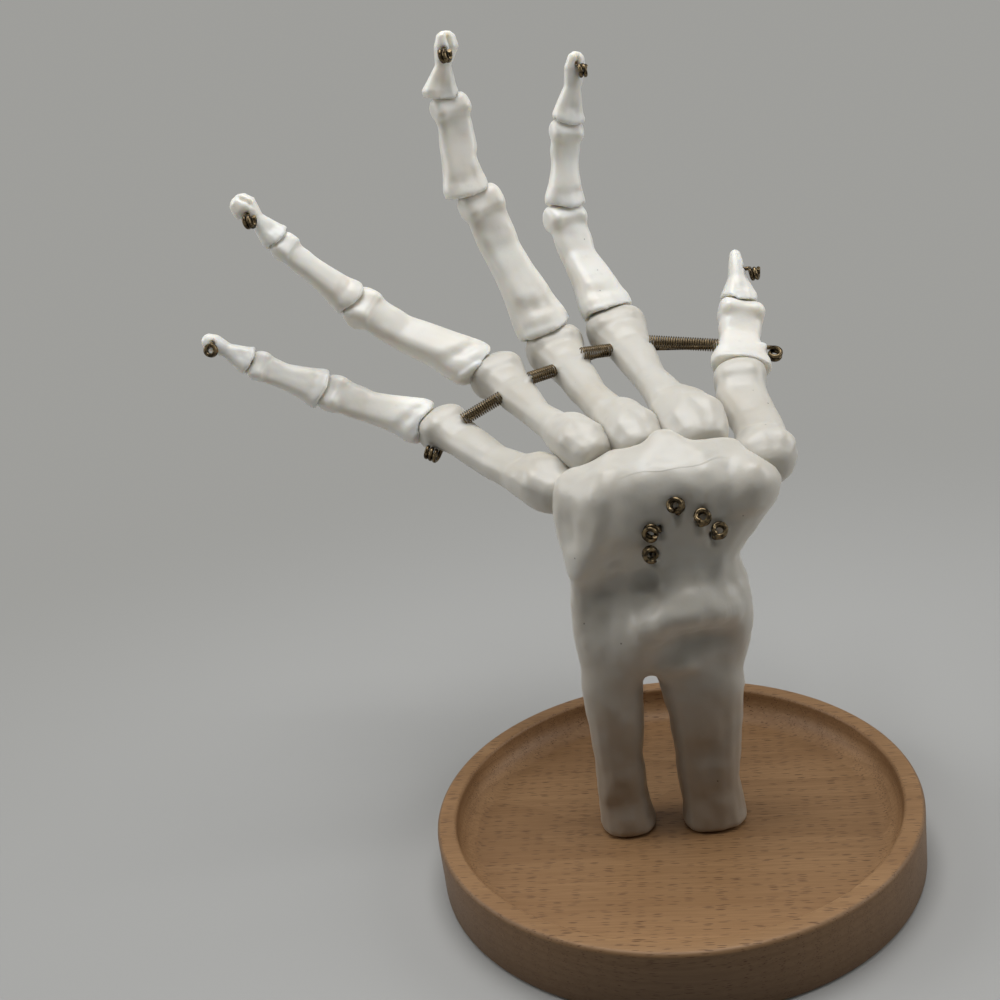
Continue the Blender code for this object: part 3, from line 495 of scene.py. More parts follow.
class Casting:
    """A moulded piece, worked as points and normals: rubbed, softened, pressed and wavered."""

    def __init__(self, name, node, voxel, plugs=()):
        """The frame's solid with its facets merged and drilled ways plugged, remeshed in small
        even squares. A plug is its two ends and its radius."""
        bm = bmesh.new()
        bm.from_mesh(nodes[node].data)
        bmesh.ops.remove_doubles(bm, verts=bm.verts, dist=1e-6)
        for start, end, radius in plugs:
            turn = (end - start).to_track_quat("Z", "Y").to_matrix().to_4x4()
            bmesh.ops.create_cone(
                bm,
                cap_ends=True,
                segments=16,
                radius1=radius,
                radius2=radius,
                depth=(end - start).length,
                matrix=Matrix.Translation((start + end) / 2) @ turn,
            )
        self.piece = place_mesh(name, bm)
        remesh = self.piece.modifiers.new("remesh", "REMESH")
        remesh.mode = "VOXEL"
        remesh.voxel_size = voxel
        settle(self.piece)
        self.read()

    def read(self):
        """Takes up the mesh's points, its edges and how many neighbours each point has."""
        mesh = self.piece.data
        self.points = np.empty(len(mesh.vertices) * 3)
        mesh.vertices.foreach_get("co", self.points)
        self.points = self.points.reshape(-1, 3)
        self.edges = np.empty(len(mesh.edges) * 2, np.int64)
        mesh.edges.foreach_get("vertices", self.edges)
        self.edges = self.edges.reshape(-1, 2)
        self.counts = np.bincount(self.edges.ravel(), minlength=len(self.points)).astype(float)

    def drift(self, points):
        """The way from each point to the average of its neighbours."""
        start, end = self.edges.T
        total = np.empty_like(points)
        for axis in range(3):
            total[:, axis] = np.bincount(start, points[end, axis], len(points))
            total[:, axis] += np.bincount(end, points[start, axis], len(points))
        return total / self.counts[:, None] - points

    def rub(self, rounds=RUB_ROUNDS):
        """Takes facets off without shrinking, each rub in followed by one out."""
        for _ in range(rounds):
            for share in (RUB_IN, RUB_OUT):
                self.points += share * self.drift(self.points)

    def normals(self):
        """The way out of the surface at each point."""
        self.piece.data.vertices.foreach_set("co", self.points.ravel())
        self.piece.data.update()
        found = np.empty(len(self.points) * 3, np.float32)
        self.piece.data.vertex_normals.foreach_get("vector", found)
        return found.reshape(-1, 3)

    def press(self, spots, way, strokes):
        """Raises or sinks soft strokes on the side that faces a way. A stroke is its points
        across and along, its reach both ways, and how far out it stands. The spots are where
        the casting's own points lie across and along."""
        normals = self.normals()
        shown = np.clip(FACING_GAIN * (normals @ np.array(way)), 0, 1)
        lift = np.zeros(len(spots))
        for points, reach, height in strokes:
            scaled = spots / reach
            ends = [np.array(point) / reach for point in points]
            away = np.full(len(spots), np.inf)
            for start, end in zip(ends, ends[1:] or ends):
                run = end - start
                share = np.clip((scaled - start) @ run / max(run @ run, 1e-12), 0, 1)
                nearest = start + share[:, None] * run
                away = np.minimum(away, ((scaled - nearest) ** 2).sum(axis=1))
            lift += height * np.exp(-away)
        self.points += normals * (lift * shown)[:, None]

    def soften(self, place, reach, rounds):
        """Rounds off what stands sharp about a place, less and less away from it."""
        near = np.exp(-(((self.points - np.array(place)) / reach) ** 2).sum(axis=1))[:, None]
        for _ in range(rounds):
            self.points += near / 2 * self.drift(self.points)

    def mellow(self, rounds, grow):
        """Rounds every edge, then swells the whole by what that took off."""
        for _ in range(rounds):
            self.points += self.drift(self.points) / 2
        self.points += self.normals() * grow

    def waver(self, scale, depth, seed):
        """Slow unevenness, as hand-finished patterns have."""
        normals = self.normals()
        shift = Vector((seed, 0.0, 0.0))
        sway = [noise.noise(Vector(point) * scale + shift) for point in self.points]
        self.points += normals * (np.array(sway) * depth)[:, None]

    def close(self):
        """Writes the points back, with how hollow each place is, for the painted shade that darkens
        the hollows.
        """
        self.points[:, 2] = np.minimum(self.points[:, 2], solid_box[1][2])
        normals = self.normals()
        flat = self.points.copy()
        for _ in range(WASH_ROUNDS):
            flat += WASH_SHARE * self.drift(flat)
        hollow = ((flat - self.points) * normals).sum(axis=1)
        mark = self.piece.data.attributes.new("hollow", "FLOAT", "POINT")
        mark.data.foreach_set("value", (hollow * 1000).astype(np.float32))
        return self.piece


def surface_tree(piece):
    """A piece's surface, to measure from."""
    mesh = piece.data
    points = [vertex.co.copy() for vertex in mesh.vertices]
    return BVHTree.FromPolygons(points, [tuple(face.vertices) for face in mesh.polygons])


def moulded_plastic(name, pale, warm, glow_depth):
    """The off-white plastic, which lets light through to a depth that shows in thin pieces."""
    plastic = Finish(name, specular_ior_level=0.45, coat_weight=0.10, coat_roughness=0.22)
    place = plastic.place
    hollow = place.node("Attribute", {"attribute_name": "hollow"}, {}, output=2)
    cloud = place.noise(CLOUDS, 3.0)
    smudge = place.noise(SMUDGES, 4.0, 0.6)
    away, pick = place.cells(PITS)
    pit = (1 - away.over(0.05, 0.11)) * pick.over(0.93, 0.94)
    colour = (cloud.over(0.35, 0.72) * 0.6).blend(pale, warm)
    across, depth, rise = (place.node("SeparateXYZ", {}, {0: place}, output=k) for k in range(3))
    # Painted shade: the stubs are darkened towards their foot
    colour = (0.82 - rise.over(*STUB_SHADE_FADE) * 0.82).blend(colour, BONE_PAINTED_SHADE)
    # Painted shade: grey in the hollows, and darkest in the deepest ones, by how hollow each place
    # is
    colour = (hollow.over(0.03, 0.50) * 0.5).blend(colour, BONE_GREY)
    colour = (hollow.over(0.75, 1.0) * 0.85).blend(colour, PIT_AND_SHADE_DARK)
    colour = (smudge.over(0.60, 0.78) * 0.16).blend(colour, BONE_GREY)
    colour = (pit * 0.75).blend(colour, PIT_AND_SHADE_DARK)
    # The mould's parting line, thin and wavering, over the front of the crown
    aside = rise - mould_line + (place.noise(75.0, 1.0) - 0.5) * MOULD_LINE_SWAY
    aside = aside.maths("ABSOLUTE", 0.0)
    shown = across.over(*MOULD_LINE_START) * (1 - across.over(*MOULD_LINE_END))
    shown = shown * (1 - depth.over(*MOULD_LINE_BACK))
    line = (1 - aside.over(*MOULD_LINE_EDGE)) * shown
    colour = (line * 0.30).blend(colour, BONE_GREY)
    plastic.paint(
        base_color=colour,
        roughness=smudge * 0.22 + 0.27,
        subsurface_weight=0.8,
        subsurface_radius=(1.0, 0.85, 0.65),
        subsurface_scale=glow_depth,
    )
    relief = place.noise(SKIN_GRAIN, 3.0) * 0.5 + smudge * 0.6 + line * 1.2 - pit
    plastic.bump(relief, PLASTIC_RELIEF, 0.5)
    return plastic


fork_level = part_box("wrist_block")[1].z - CROWN_OVER_FORK
mould_line = fork_level + MOULD_LINE_RISE
# Painted light and shade: the block and the metacarpals take the darker copy of the one plastic for
# their shade, the phalanges the whiter copy for the light on them; the glow depth differs with
# thickness
shaded_thick_plastic = moulded_plastic("cast_bone_block_painted_shade", BONE_PALE_SHADED, BONE_WARM_SHADED, BLOCK_GLOW_DEPTH)
lit_thin_plastic = moulded_plastic("cast_bone_fingers_painted_light", BONE_WHITE_LIT, BONE_CREAM_LIT, BONE_GLOW_DEPTH)
block = Casting("wrist_casting", "wrist_block", BLOCK_VOXEL)
block.rub()


def hole_mouth(across, down):
    """The stroke that draws out the mouth of a drilled way downwards."""
    rise = CROWN_OVER_FORK - down
    return ((across, rise), (across, rise - MOUTH_LENGTH)), MOUTH_REACH, -MOUTH_DEPTH


FACET_CREST = (
    (-0.0085, 0.0540), (-0.0095, 0.0485), (-0.0117, 0.0417), (-0.0142, 0.0365), (-0.0168, 0.0300),
)
STUB_SWELLING = ((-0.0020, 0.0155), (0.0040, 0.0190), (0.0125, 0.0200), (0.0180, 0.0180))
# Across and over the fork of the stubs: the swellings and hollows of the palm side
PALM_STROKES = (
    # the left facet, which looks up and to the left from its crest
    (FACET_CREST, 0.0044, 0.0029),
    (((-0.0190, 0.0520), (-0.0190, 0.0440)), (0.0045, 0.0070), -0.0009),
    (((-0.0030, 0.0500), (-0.0040, 0.0430)), (0.0055, 0.0070), 0.0010),
    # the swelling across the palm, and the dark hollow under it at the left
    (((-0.0060, 0.0400), (0.0020, 0.0415), (0.0120, 0.0400)), (0.0060, 0.0060), 0.0014),
    (((-0.0120, 0.0250), (-0.0070, 0.0285), (-0.0010, 0.0270)), (0.0072, 0.0062), -0.0034),
    # the right tubercle, the valley beside it, and the crown's own valley filled
    (((0.0280, 0.0530), (0.0290, 0.0480)), (0.0040, 0.0060), 0.0016),
    (((0.0229, 0.0553), (0.0208, 0.0513), (0.0195, 0.0445)), (0.0030, 0.0045), -0.0009),
    (((0.0152, 0.0590), (0.0150, 0.0480)), (0.0034, 0.0060), 0.0008),
    # the swollen end of the right stub, its hollow, and the small boss over the fork
    (STUB_SWELLING, (0.0062, 0.0052), 0.0027),
    (((0.0073, 0.0103), (0.0141, 0.0103)), (0.0046, 0.0030), -0.0019),
    (((0.0061, 0.0035),), (0.0034, 0.0026), 0.0016),
    (((-0.0130, 0.0110), (-0.0060, 0.0090)), (0.0050, 0.0050), 0.0010),
    # the mouths of the drilled ways, drawn out downwards
    *(hole_mouth(across, down) for across, down, *_ in PALM_EYES.values()),
)
# Where the block is rounded off over the fork, how far that reaches, and how many times
SOFT_PLACES = (
    (Vector((0.0, -0.012, 0.0540)), (0.040, 0.020, 0.0080), 90),
    (Vector((0.0, -0.012, 0.0010)), (0.040, 0.020, 0.0070), 90),
    (Vector((0.0145, -0.002, 0.0560)), (0.0070, 0.0120, 0.0080), 120),
)
# How many waves a metre, how deep, and where the pattern starts
BLOCK_WAVERS = ((110.0, 0.00060, 2.0), (260.0, 0.00022, 7.0))

fork = Matrix.Translation((0.0, 0.0, fork_level))
for place, reach, rounds in SOFT_PLACES:
    block.soften(fork @ place, reach, rounds)
block.press(block.points[:, [0, 2]] - (0.0, fork_level), (0, -1, 0), PALM_STROKES)
block.rub(SECOND_RUB_ROUNDS)
for waver in BLOCK_WAVERS:
    block.waver(*waver)
wrist = dress(block.close(), shaded_thick_plastic, "moulded_bone", "stand", "wrist_block")
wrist_tree = surface_tree(wrist)

# Each finger bone is its own casting, strung loosely on the finger's wire. The metacarpals
# have square feet, round waists and ball heads with a small knob at each side of the palm.
BONE_VOXEL = 0.00036
FINGERS = ("thumb", "forefinger", "long_finger", "ring_finger", "little_finger")
JOINT_NAMES = ("knuckle", "middle_joint", "end_joint")
PALM_WAY = Vector((0.0, -0.35, 0.94))
THUMB_HEAD_SINK = 0.0050
# The springs in the gaps between the bones; their middle lines give the cross wire's ways
SPRINGS = (
    "spring_little_finger_to_ring_finger",
    "spring_ring_finger_to_long_finger",
    "spring_long_finger_to_forefinger",
    "spring_forefinger_to_thumb",
)
DRILL_PLUG_RADIUS = 0.0011
DRILL_REACH = 0.0075
NECK_SHARE = 0.86
METACARPAL_NECK = 0.009
PHALANX_NECK = 0.008
NECK_ROUNDS = 50
# How many rounds take a bone's edges off, and how far it is swelled for them
MELLOWING = (24, 0.00012)
METACARPAL_WAVER = (120.0, 0.00030, 11.0)
FAR_SHARE = 0.94
HEAD_LEVEL = 0.98
METACARPAL_PALM = (
    # a crest across the foot with a knob at one end of it, and the flat below it
    (((-0.55, 0.11), (0.0, 0.18), (0.45, 0.17)), (0.42, 0.36), 0.10),
    (((0.70, 0.12),), (0.32, 0.36), 0.12),
    (((-0.15, 0.04),), (0.50, 0.40), -0.04),
    (((0.40, 0.07), (0.25, 0.02)), (0.24, 0.32), -0.04),
    (((0.0, 0.36),), (0.55, 0.42), -0.08),
    # the flared corners of the head, and the hollow below them
    (((-0.62, 0.95),), (0.34, 0.40), 0.09),
    (((0.62, 0.95),), (0.34, 0.40), 0.09),
    (((0.0, 0.82),), (0.55, 0.40), -0.09),
)
# The bones whose knob is at the other end of the crest
KNOB_SIDES = {"ring_finger": -1.0, "little_finger": -1.0}
# Shares of the length, how much of the head's width is filled there, and how far the sides
# are drawn in or out
METACARPAL_SIDES = (
    (0.00, 0.0, 1.00), (0.12, 0.0, 1.05), (0.35, 0.0, 0.94), (0.60, 0.0, 0.97), (0.75, 0.64, 0.98),
    (0.86, 0.84, 1.0), (0.95, 1.0, 1.05), (1.05, 1.0, 1.05),
)
# Shares of the length, and how far the bone bows to the thumb's side there
THUMB_BOW = ((0.10, 0.0), (0.40, 0.16), (0.55, 0.16), (0.82, -0.16), (0.95, -0.05), (1.05, 0.0))
THUMB_SIDES = (
    (0.00, 0.0, 1.00), (0.12, 0.0, 1.05), (0.35, 0.0, 0.86), (0.55, 0.0, 0.84), (0.75, 0.80, 1.05),
    (0.84, 0.95, 1.12), (0.95, 1.0, 1.05), (1.05, 1.0, 1.04),
)
SIDE_BAND = 0.0009
SIDE_STEPS = 40


def joint_place(name):
    return Vector(joints[name]["pos_m"])


def joint_axis(name):
    return Vector(joints[name]["axis"])


def along(start, end, across):
    """A bone's frame: z from its foot to its head, x across it, and the palm on its -y side."""
    z = (end - start).normalized()
    x = (across - across.dot(z) * z).normalized()
    turn = Matrix((x, z.cross(x), z)).transposed().to_4x4()
    return Matrix.Translation(start) @ turn


def far_end(node, joint):
    """The middle of the end of a solid that lies farthest from a joint."""
    points = [vertex.co for vertex in nodes[node].data.vertices]
    reach = max((point - joint).length for point in points)
    last = [point for point in points if (point - joint).length > FAR_SHARE * reach]
    return sum(last, Vector()) / len(last)


def knuckle(finger):
    """Where a metacarpal's head is, and the way across it. The thumb's has no joint of its own,
    so it is found from the foot of the bone beyond it."""
    if finger != "thumb":
        return joint_place(f"{finger}_knuckle"), joint_axis(f"{finger}_knuckle")
    tip = joint_place("thumb_end_joint")
    foot = far_end("thumb_proximal_phalanx", tip)
    head = foot + (foot - tip).normalized() * THUMB_HEAD_SINK
    back = far_end("thumb_metacarpal", head)
    return head, (head - back).cross(PALM_WAY)


def spring_line(node):
    """The middle line of a spring, from its little-finger end to its thumb end."""
    points = np.array([vertex.co for vertex in nodes[node].data.vertices])
    middle = points.mean(axis=0)
    way = np.linalg.svd(points - middle, full_matrices=False)[2][0]
    way = way if way[0] > 0 else -way
    reach = (points - middle) @ way
    way = Vector(way)
    middle = Vector(middle)
    return middle + way * reach.min(), middle + way * reach.max()


def nearest_on(start, end, other_start, other_end):
    """The point of the line through two points that comes nearest to another such line."""
    way, other = end - start, other_end - other_start
    normal = way.cross(other)
    share = (other_start - start).cross(other).dot(normal) / normal.length_squared
    return start + way * share


def laid_out(bone, into, length, slant):
    """A bone's points across, through and along it. Along it, heights follow the slant of its
    foot at one end and run square across at its head."""
    back = np.array(into.inverted())
    local = bone.points @ back[:3, :3].T + back[:3, 3]
    local[:, 2] -= slant * local[:, 0] * np.clip(1 - local[:, 2] / length, 0, 1)
    return local


def fit_sides(bone, into, length, slant, stops, bow=((0.0, 0.0),)):
    """Draws a bone's sides in or out, fills its neck out to the width of its head, and bows it."""
    local = laid_out(bone, into, length, slant)
    levels = np.linspace(local[:, 2].min(), local[:, 2].max(), SIDE_STEPS)
    sides = []
    for level in levels:
        across = local[abs(local[:, 2] - level) < SIDE_BAND, 0]
        sides.append((across.min(), across.max()))
    low, high = (np.interp(local[:, 2], levels, side) for side in zip(*sides))
    head_low, head_high = (np.interp(HEAD_LEVEL * length, levels, side) for side in zip(*sides))
    shares, fills, draws = (np.array(column) for column in zip(*stops))
    fill = np.interp(local[:, 2], shares * length, fills)
    draw = np.interp(local[:, 2], shares * length, draws)
    middle, half = (low + high) / 2, (high - low) / 2
    shares, bows = (np.array(column) for column in zip(*bow))
    aside = np.interp(local[:, 2], shares * length, bows) * half
    new_low = np.minimum(middle - half * draw, fill * head_low) + aside
    new_high = np.maximum(middle + half * draw, fill * head_high) + aside
    across = (new_low + new_high) / 2 + (local[:, 0] - middle) / half * (new_high - new_low) / 2
    bone.points += (across - local[:, 0])[:, None] * np.array(into.to_3x3() @ Vector((1, 0, 0)))


def sculpt(bone, into, length, slant, forms):
    """Works a bone's palm side in shares of its own size. A form is its points, each as a share
    of the half width and of the length, its reach both ways and how far out it stands, both as
    shares of the half width."""
    local = laid_out(bone, into, length, slant)
    lowest, highest = local[:, 2].min() + SIDE_BAND, local[:, 2].max() - SIDE_BAND
    strokes = []
    for points, reach, height in forms:
        spots = []
        for across, share in points:
            level = min(max(share * length, lowest), highest)
            level = local[abs(local[:, 2] - level) < SIDE_BAND, 0]
            middle, half = (level.max() + level.min()) / 2, (level.max() - level.min()) / 2
            spots.append((middle + across * half, share * length))
        strokes.append((spots, np.array(reach) * half, height * half))
    bone.press(local[:, [0, 2]], into.to_3x3() @ Vector((0, -1, 0)), strokes)


lines = [spring_line(node) for node in SPRINGS]
crossings = [nearest_on(*line, *following) for line, following in zip(lines, lines[1:])]
# The ways drilled for the cross wire, from the little finger's bone to the thumb's
plug_ends = [(lines[0][0] - (lines[0][1] - lines[0][0]).normalized() * DRILL_REACH, lines[0][0])]
plug_ends += [(before[1], after[0]) for before, after in zip(lines, lines[1:])]
plugs = {}
for finger, (start, end) in zip(FINGERS[:0:-1], plug_ends):
    plugs[f"{finger}_metacarpal"] = [(start, end, DRILL_PLUG_RADIUS)]
plugs["thumb_proximal_phalanx"] = []

# The ways that the cross wire leaves the first and the last bone on it
LITTLE_END_WAY = Vector((-0.5, -0.15, -0.85))
THUMB_END_WAY = Vector((0.98, 0.0, -0.15))
bone_frames = {}
castings = {}


def plug_outer_way(node, line, way):
    """Plugs the way that the cross wire leaves by through the first or last bone on it, and
    gives the point where it turns off."""
    into, length = bone_frames[node]
    corner = nearest_on(*line, into.translation, into @ Vector((0.0, 0.0, length)))
    near = min(line, key=lambda end: (end - corner).length)
    plugs[node].append((near, corner, DRILL_PLUG_RADIUS))
    plugs[node].append((corner, corner + way * DRILL_REACH, DRILL_PLUG_RADIUS))
    return corner


for finger in FINGERS:
    node = f"{finger}_metacarpal"
    head, across = knuckle(finger)
    into = along(far_end(node, head), head, across)
    length = (into.inverted() @ head).z
    bone_frames[node] = (into, length)
    if finger == "little_finger":
        little_turn = plug_outer_way(node, lines[0], LITTLE_END_WAY)
    bone = Casting(node + "_casting", node, BONE_VOXEL, plugs.get(node, ()))
    if finger == "thumb":
        fit_sides(bone, into, length, 0.0, THUMB_SIDES, THUMB_BOW)
    else:
        fit_sides(bone, into, length, 0.0, METACARPAL_SIDES)
    bone.rub()
    bone.soften(into @ Vector((0.0, 0.0, NECK_SHARE * length)), METACARPAL_NECK, NECK_ROUNDS)
    bone.mellow(*MELLOWING)
    side = KNOB_SIDES.get(finger, 1.0)
    forms = [
        ([(across * side, share) for across, share in points], *rest)
        for points, *rest in METACARPAL_PALM
    ]
    sculpt(bone, into, length, 0.0, forms)
    bone.waver(*METACARPAL_WAVER)
    castings[node] = dress(bone.close(), shaded_thick_plastic, "moulded_bone", "stand", node)

# The phalanges have a cupped foot with two small palm-side knobs, a shaft that is flat and
# edged on the palm side, and a grooved head; the last ones end in a rounded tip.
PHALANX_KINDS = ("proximal_phalanx", "middle_phalanx", "distal_phalanx")
PHALANX_WAVER = (150.0, 0.00020)
SHAFT_PALM = (
    # the foot's raised rim with its two corners, and the hollow over it
    (((-0.66, 0.10), (0.66, 0.10)), (0.40, 0.26), 0.17),
    (((-0.25, 0.27), (0.25, 0.27)), (0.46, 0.32), -0.11),
    # the flat palm face between two soft edges
    (((-0.70, 0.38), (-0.70, 0.78)), (0.24, 0.35), 0.06),
    (((0.70, 0.38), (0.70, 0.78)), (0.24, 0.35), 0.06),
    (((0.0, 0.42), (0.0, 0.68)), (0.40, 0.50), -0.06),
    # the rolled head with its two corners, and the hollow below it
    (((-0.5, 0.95), (0.5, 0.95)), (0.36, 0.26), 0.12),
    (((-0.74, 0.93),), (0.26, 0.30), 0.08),
    (((0.74, 0.93),), (0.26, 0.30), 0.08),
    (((-0.15, 0.80), (0.15, 0.80)), (0.50, 0.30), -0.03),
)
SHAFT_SIDES = (
    (0.00, 0.0, 1.08), (0.09, 0.0, 1.14), (0.20, 0.0, 1.03), (0.40, 0.0, 0.92), (0.52, 0.80, 0.93),
    (0.68, 0.92, 1.0), (0.78, 1.02, 1.0), (0.90, 1.03, 1.0), (1.05, 1.0, 1.0),
)
TIP_PALM = (
    (((-0.75, 0.15), (0.0, 0.11), (0.75, 0.15)), (0.32, 0.26), 0.14),
    (((0.0, 0.32),), (0.42, 0.40), -0.12),
    (((0.0, 0.66), (0.0, 0.82)), (0.60, 0.60), 0.08),
)
# The groove over the hole in a tip whose wire comes out forwards
TIP_GROOVE = (((0.05, 0.80), (-0.10, 0.95)), (0.17, 0.30), -0.26)
GROOVED_TIPS = ("forefinger", "long_finger", "ring_finger")


def cast_phalanx(node, body, into, length, slant, last, groove):
    """One phalanx, worked and finished. The last one of a finger has a tip and no head."""
    bone = Casting(node + "_casting", node, BONE_VOXEL, plugs.get(node, ()))
    if not last:
        fit_sides(bone, into, length, slant, SHAFT_SIDES)
    bone.rub(RUB_ROUNDS // 3 if last else RUB_ROUNDS)
    if not last:
        bone.soften(into @ Vector((0.0, 0.0, NECK_SHARE * length)), PHALANX_NECK, NECK_ROUNDS)
        bone.mellow(*MELLOWING)
    forms = TIP_PALM if last else SHAFT_PALM
    sculpt(bone, into, length, slant, [*forms, TIP_GROOVE] if groove else forms)
    bone.waver(*PHALANX_WAVER, 5.0 + length * 100)
    return dress(bone.close(), lit_thin_plastic, "moulded_bone", body, node)


for finger in FINGERS:
    thumb = finger == "thumb"
    kinds = [kind for kind in PHALANX_KINDS if not (thumb and kind == "middle_phalanx")]
    names = [f"{finger}_{name}" for name in JOINT_NAMES[1:]]
    names = names[1:] if thumb else names
    starts, axes = [list(ends) for ends in zip(knuckle(finger))]
    starts += [joint_place(name) for name in names]
    axes += [joint_axis(name) for name in names]
    for index, kind in enumerate(kinds):
        node = f"{finger}_{kind}"
        last = kind == "distal_phalanx"
        end = far_end(node, starts[index]) if last else starts[index + 1]
        across = axes[index] if last else axes[index + 1]
        into = along(starts[index], end, across)
        length = (end - starts[index]).length
        bone_frames[node] = (into, length)
        if node == "thumb_proximal_phalanx":
            thumb_turn = plug_outer_way(node, lines[-1], THUMB_END_WAY)
        body = "stand" if thumb and not last else node
        foot = into.to_3x3().inverted() @ axes[index]
        groove = last and finger in GROOVED_TIPS
        castings[node] = cast_phalanx(node, body, into, length, foot.z / foot.x, last, groove)

# A bronze wire for each finger strings its bones together. It starts in a curled eye on the
# palm side of the wrist, runs through drilled ways and ends in another eye at the fingertip.
WIRE_RADIUS = 0.0006
WIRE_SIDES = 3
WIRE_BEND = 0.0018
BEND_STEPS = 6
EYE_RADIUS = 0.00145
EYE_TURNS = 1.9
EYE_POINTS = 30
EYE_DIAGONAL = 1.414
COIL_AIR = 0.00008
SEAT_GAP = 0.00005
SEAT_STEP = 0.0002
# How far a tilted eye is lifted, in its own radius, and how wide a hole is, in wires
EYE_LIFT = 0.6
HOLE_SHARE = 1.6
RAY_COUNT = 24
RAY_START = 0.03
RAY_LENGTH = 0.032
PALM_HOLE_DEPTH = 0.0040
# How far up a metacarpal the wire enters it
FOOT_SHARE = 0.03
BRONZE_DARK = (0.045, 0.033, 0.020)
BRONZE_WORN = (0.260, 0.195, 0.108)
DRAW_MARKS = 0.00003
# How far along the last bone the wire comes out, the way out, the way to the eye, and whether
# the eye stands out from the bone or lies flat
TIP_EYES = {
    "thumb": (0.70, Vector((0.98, -0.2, 0.0)), Vector((0.0, -0.6, -0.8)), False),
    "forefinger": (0.86, Vector((0.25, -0.97, 0.0)), Vector((0.0, 0.0, -1.0)), True),
    "long_finger": (0.77, Vector((-0.25, -0.97, 0.1)), Vector((0.0, 0.0, -1.0)), True),
    "ring_finger": (0.70, Vector((0.0, -0.95, -0.2)), Vector((0.0, -0.1, -1.0)), True),
    "little_finger": (0.80, Vector((0.0, -0.85, 0.3)), Vector((-0.25, 0.0, -1.0)), False),
}
# How far the wire bows towards the back of the hand inside a bone, and where
WIRE_BOWS = {"metacarpal": (0.0019, 0.55), "proximal_phalanx": (0.0022, 0.70)}

bronze = Finish("antique_bronze_wire", metallic=1.0)
rubbed = bronze.place.noise(700.0, 3.0, 0.6).over(0.42, 0.62)
wire_colour = (rubbed * 0.7).blend(BRONZE_DARK, BRONZE_WORN)
bronze.paint(base_color=wire_colour, roughness=rubbed * 0.12 + 0.21)
bronze.bump(bronze.place.noise(2600.0, 2.0), DRAW_MARKS, 0.4)


def add_wire(name, points, radius, finish, body, *replaced):
    """A drawn wire along its points, with level ends."""
    curve = bpy.data.curves.new(name, "CURVE")
    curve.dimensions = "3D"
    curve.bevel_depth = radius
    curve.bevel_resolution = WIRE_SIDES
    curve.use_fill_caps = True
    spline = curve.splines.new("POLY")
    spline.points.add(len(points) - 1)
    for spot, point in zip(spline.points, points):
        spot.co = (*point, 1.0)
    route = into_scene(name + "_route", curve)
    mesh = made_mesh(route)
    bpy.data.objects.remove(route, do_unlink=True)
    return dress(into_scene(name, mesh), finish, "antique_bronze", body, *replaced)


def rounded(points):
    """A route with each corner between straight runs taken round."""
    route = [points[0]]
    for before, corner, after in zip(points, points[1:], points[2:]):
        back = (before - corner).normalized()
        on = (after - corner).normalized()
        bend = pi - back.angle(on)
        nearest = min((before - corner).length, (after - corner).length)
        reach = min(WIRE_BEND * tan(bend / 2) + WIRE_RADIUS, nearest / 2)
        start, end = corner + back * reach, corner + on * reach
        for k in range(BEND_STEPS + 1):
            share = k / BEND_STEPS
            inner = start.lerp(corner, share)
            route.append(inner.lerp(corner.lerp(end, share), share))
    return route + [points[-1]]


def eye(start, way, axis, turns=EYE_TURNS):
    """A curled eye: from its start the wire goes its way, and coils round the axis."""
    way = way.normalized()
    axis = (axis - axis.dot(way) * way).normalized()
    side = axis.cross(way)
    middle = start + side * EYE_RADIUS
    climb = 2 * WIRE_RADIUS + COIL_AIR
    points = []
    for k in range(round(turns * EYE_POINTS) + 1):
        angle = tau * k / EYE_POINTS
        spot = way * sin(angle) - side * cos(angle)
        points.append(middle + spot * EYE_RADIUS + axis * climb * angle / tau)
    return points


def clear_reach(tree, inside, way, radius):
    """How far along a way from a point inside a piece a tube round the way comes clear."""
    side = way.orthogonal().normalized()
    other = way.cross(side)
    reach = 0.0
    for k in range(RAY_COUNT):
        angle = tau * k / RAY_COUNT
        around = radius * (side * cos(angle) + other * sin(angle))
        start = inside + around + way * RAY_START
        point, _, _, distance = tree.ray_cast(start, -way, RAY_LENGTH)
        if point:
            reach = max(reach, RAY_START - distance)
    return reach


def eye_beside(tree, inside, way, beside, tilt=Vector()):
    """The corner over the hole that a wire comes straight out of, and its eye beside it, flat
    or tilted."""
    way = way.normalized()
    beside = (beside - beside.dot(way) * way).normalized()
    tangent = (beside - way.cross(beside)).normalized()
    coil_middle = inside + beside * EYE_RADIUS * EYE_DIAGONAL
    reach = max(
        clear_reach(tree, coil_middle, way, EYE_RADIUS + WIRE_RADIUS),
        clear_reach(tree, coil_middle, way, EYE_RADIUS),
        clear_reach(tree, inside, way, HOLE_SHARE * WIRE_RADIUS),
    )
    corner = inside + way * (reach + WIRE_RADIUS + SEAT_GAP + EYE_RADIUS * tilt.length * EYE_LIFT)
    return corner, eye(corner + tangent * EYE_RADIUS, tangent, way + tilt)


def eye_beyond(tree, inside, way, axis, turns=EYE_TURNS):
    """The nearest eye straight out along a way from a point inside a piece that clears it."""
    way = way.normalized()
    reach = clear_reach(tree, inside, way, WIRE_RADIUS)
    nearest = 0.0
    while nearest < WIRE_RADIUS + SEAT_GAP:
        points = eye(inside + way * reach, way, axis, turns)
        nearest = min(tree.find_nearest(point)[3] for point in points[EYE_POINTS // 4 :])
        reach += SEAT_STEP
    return points


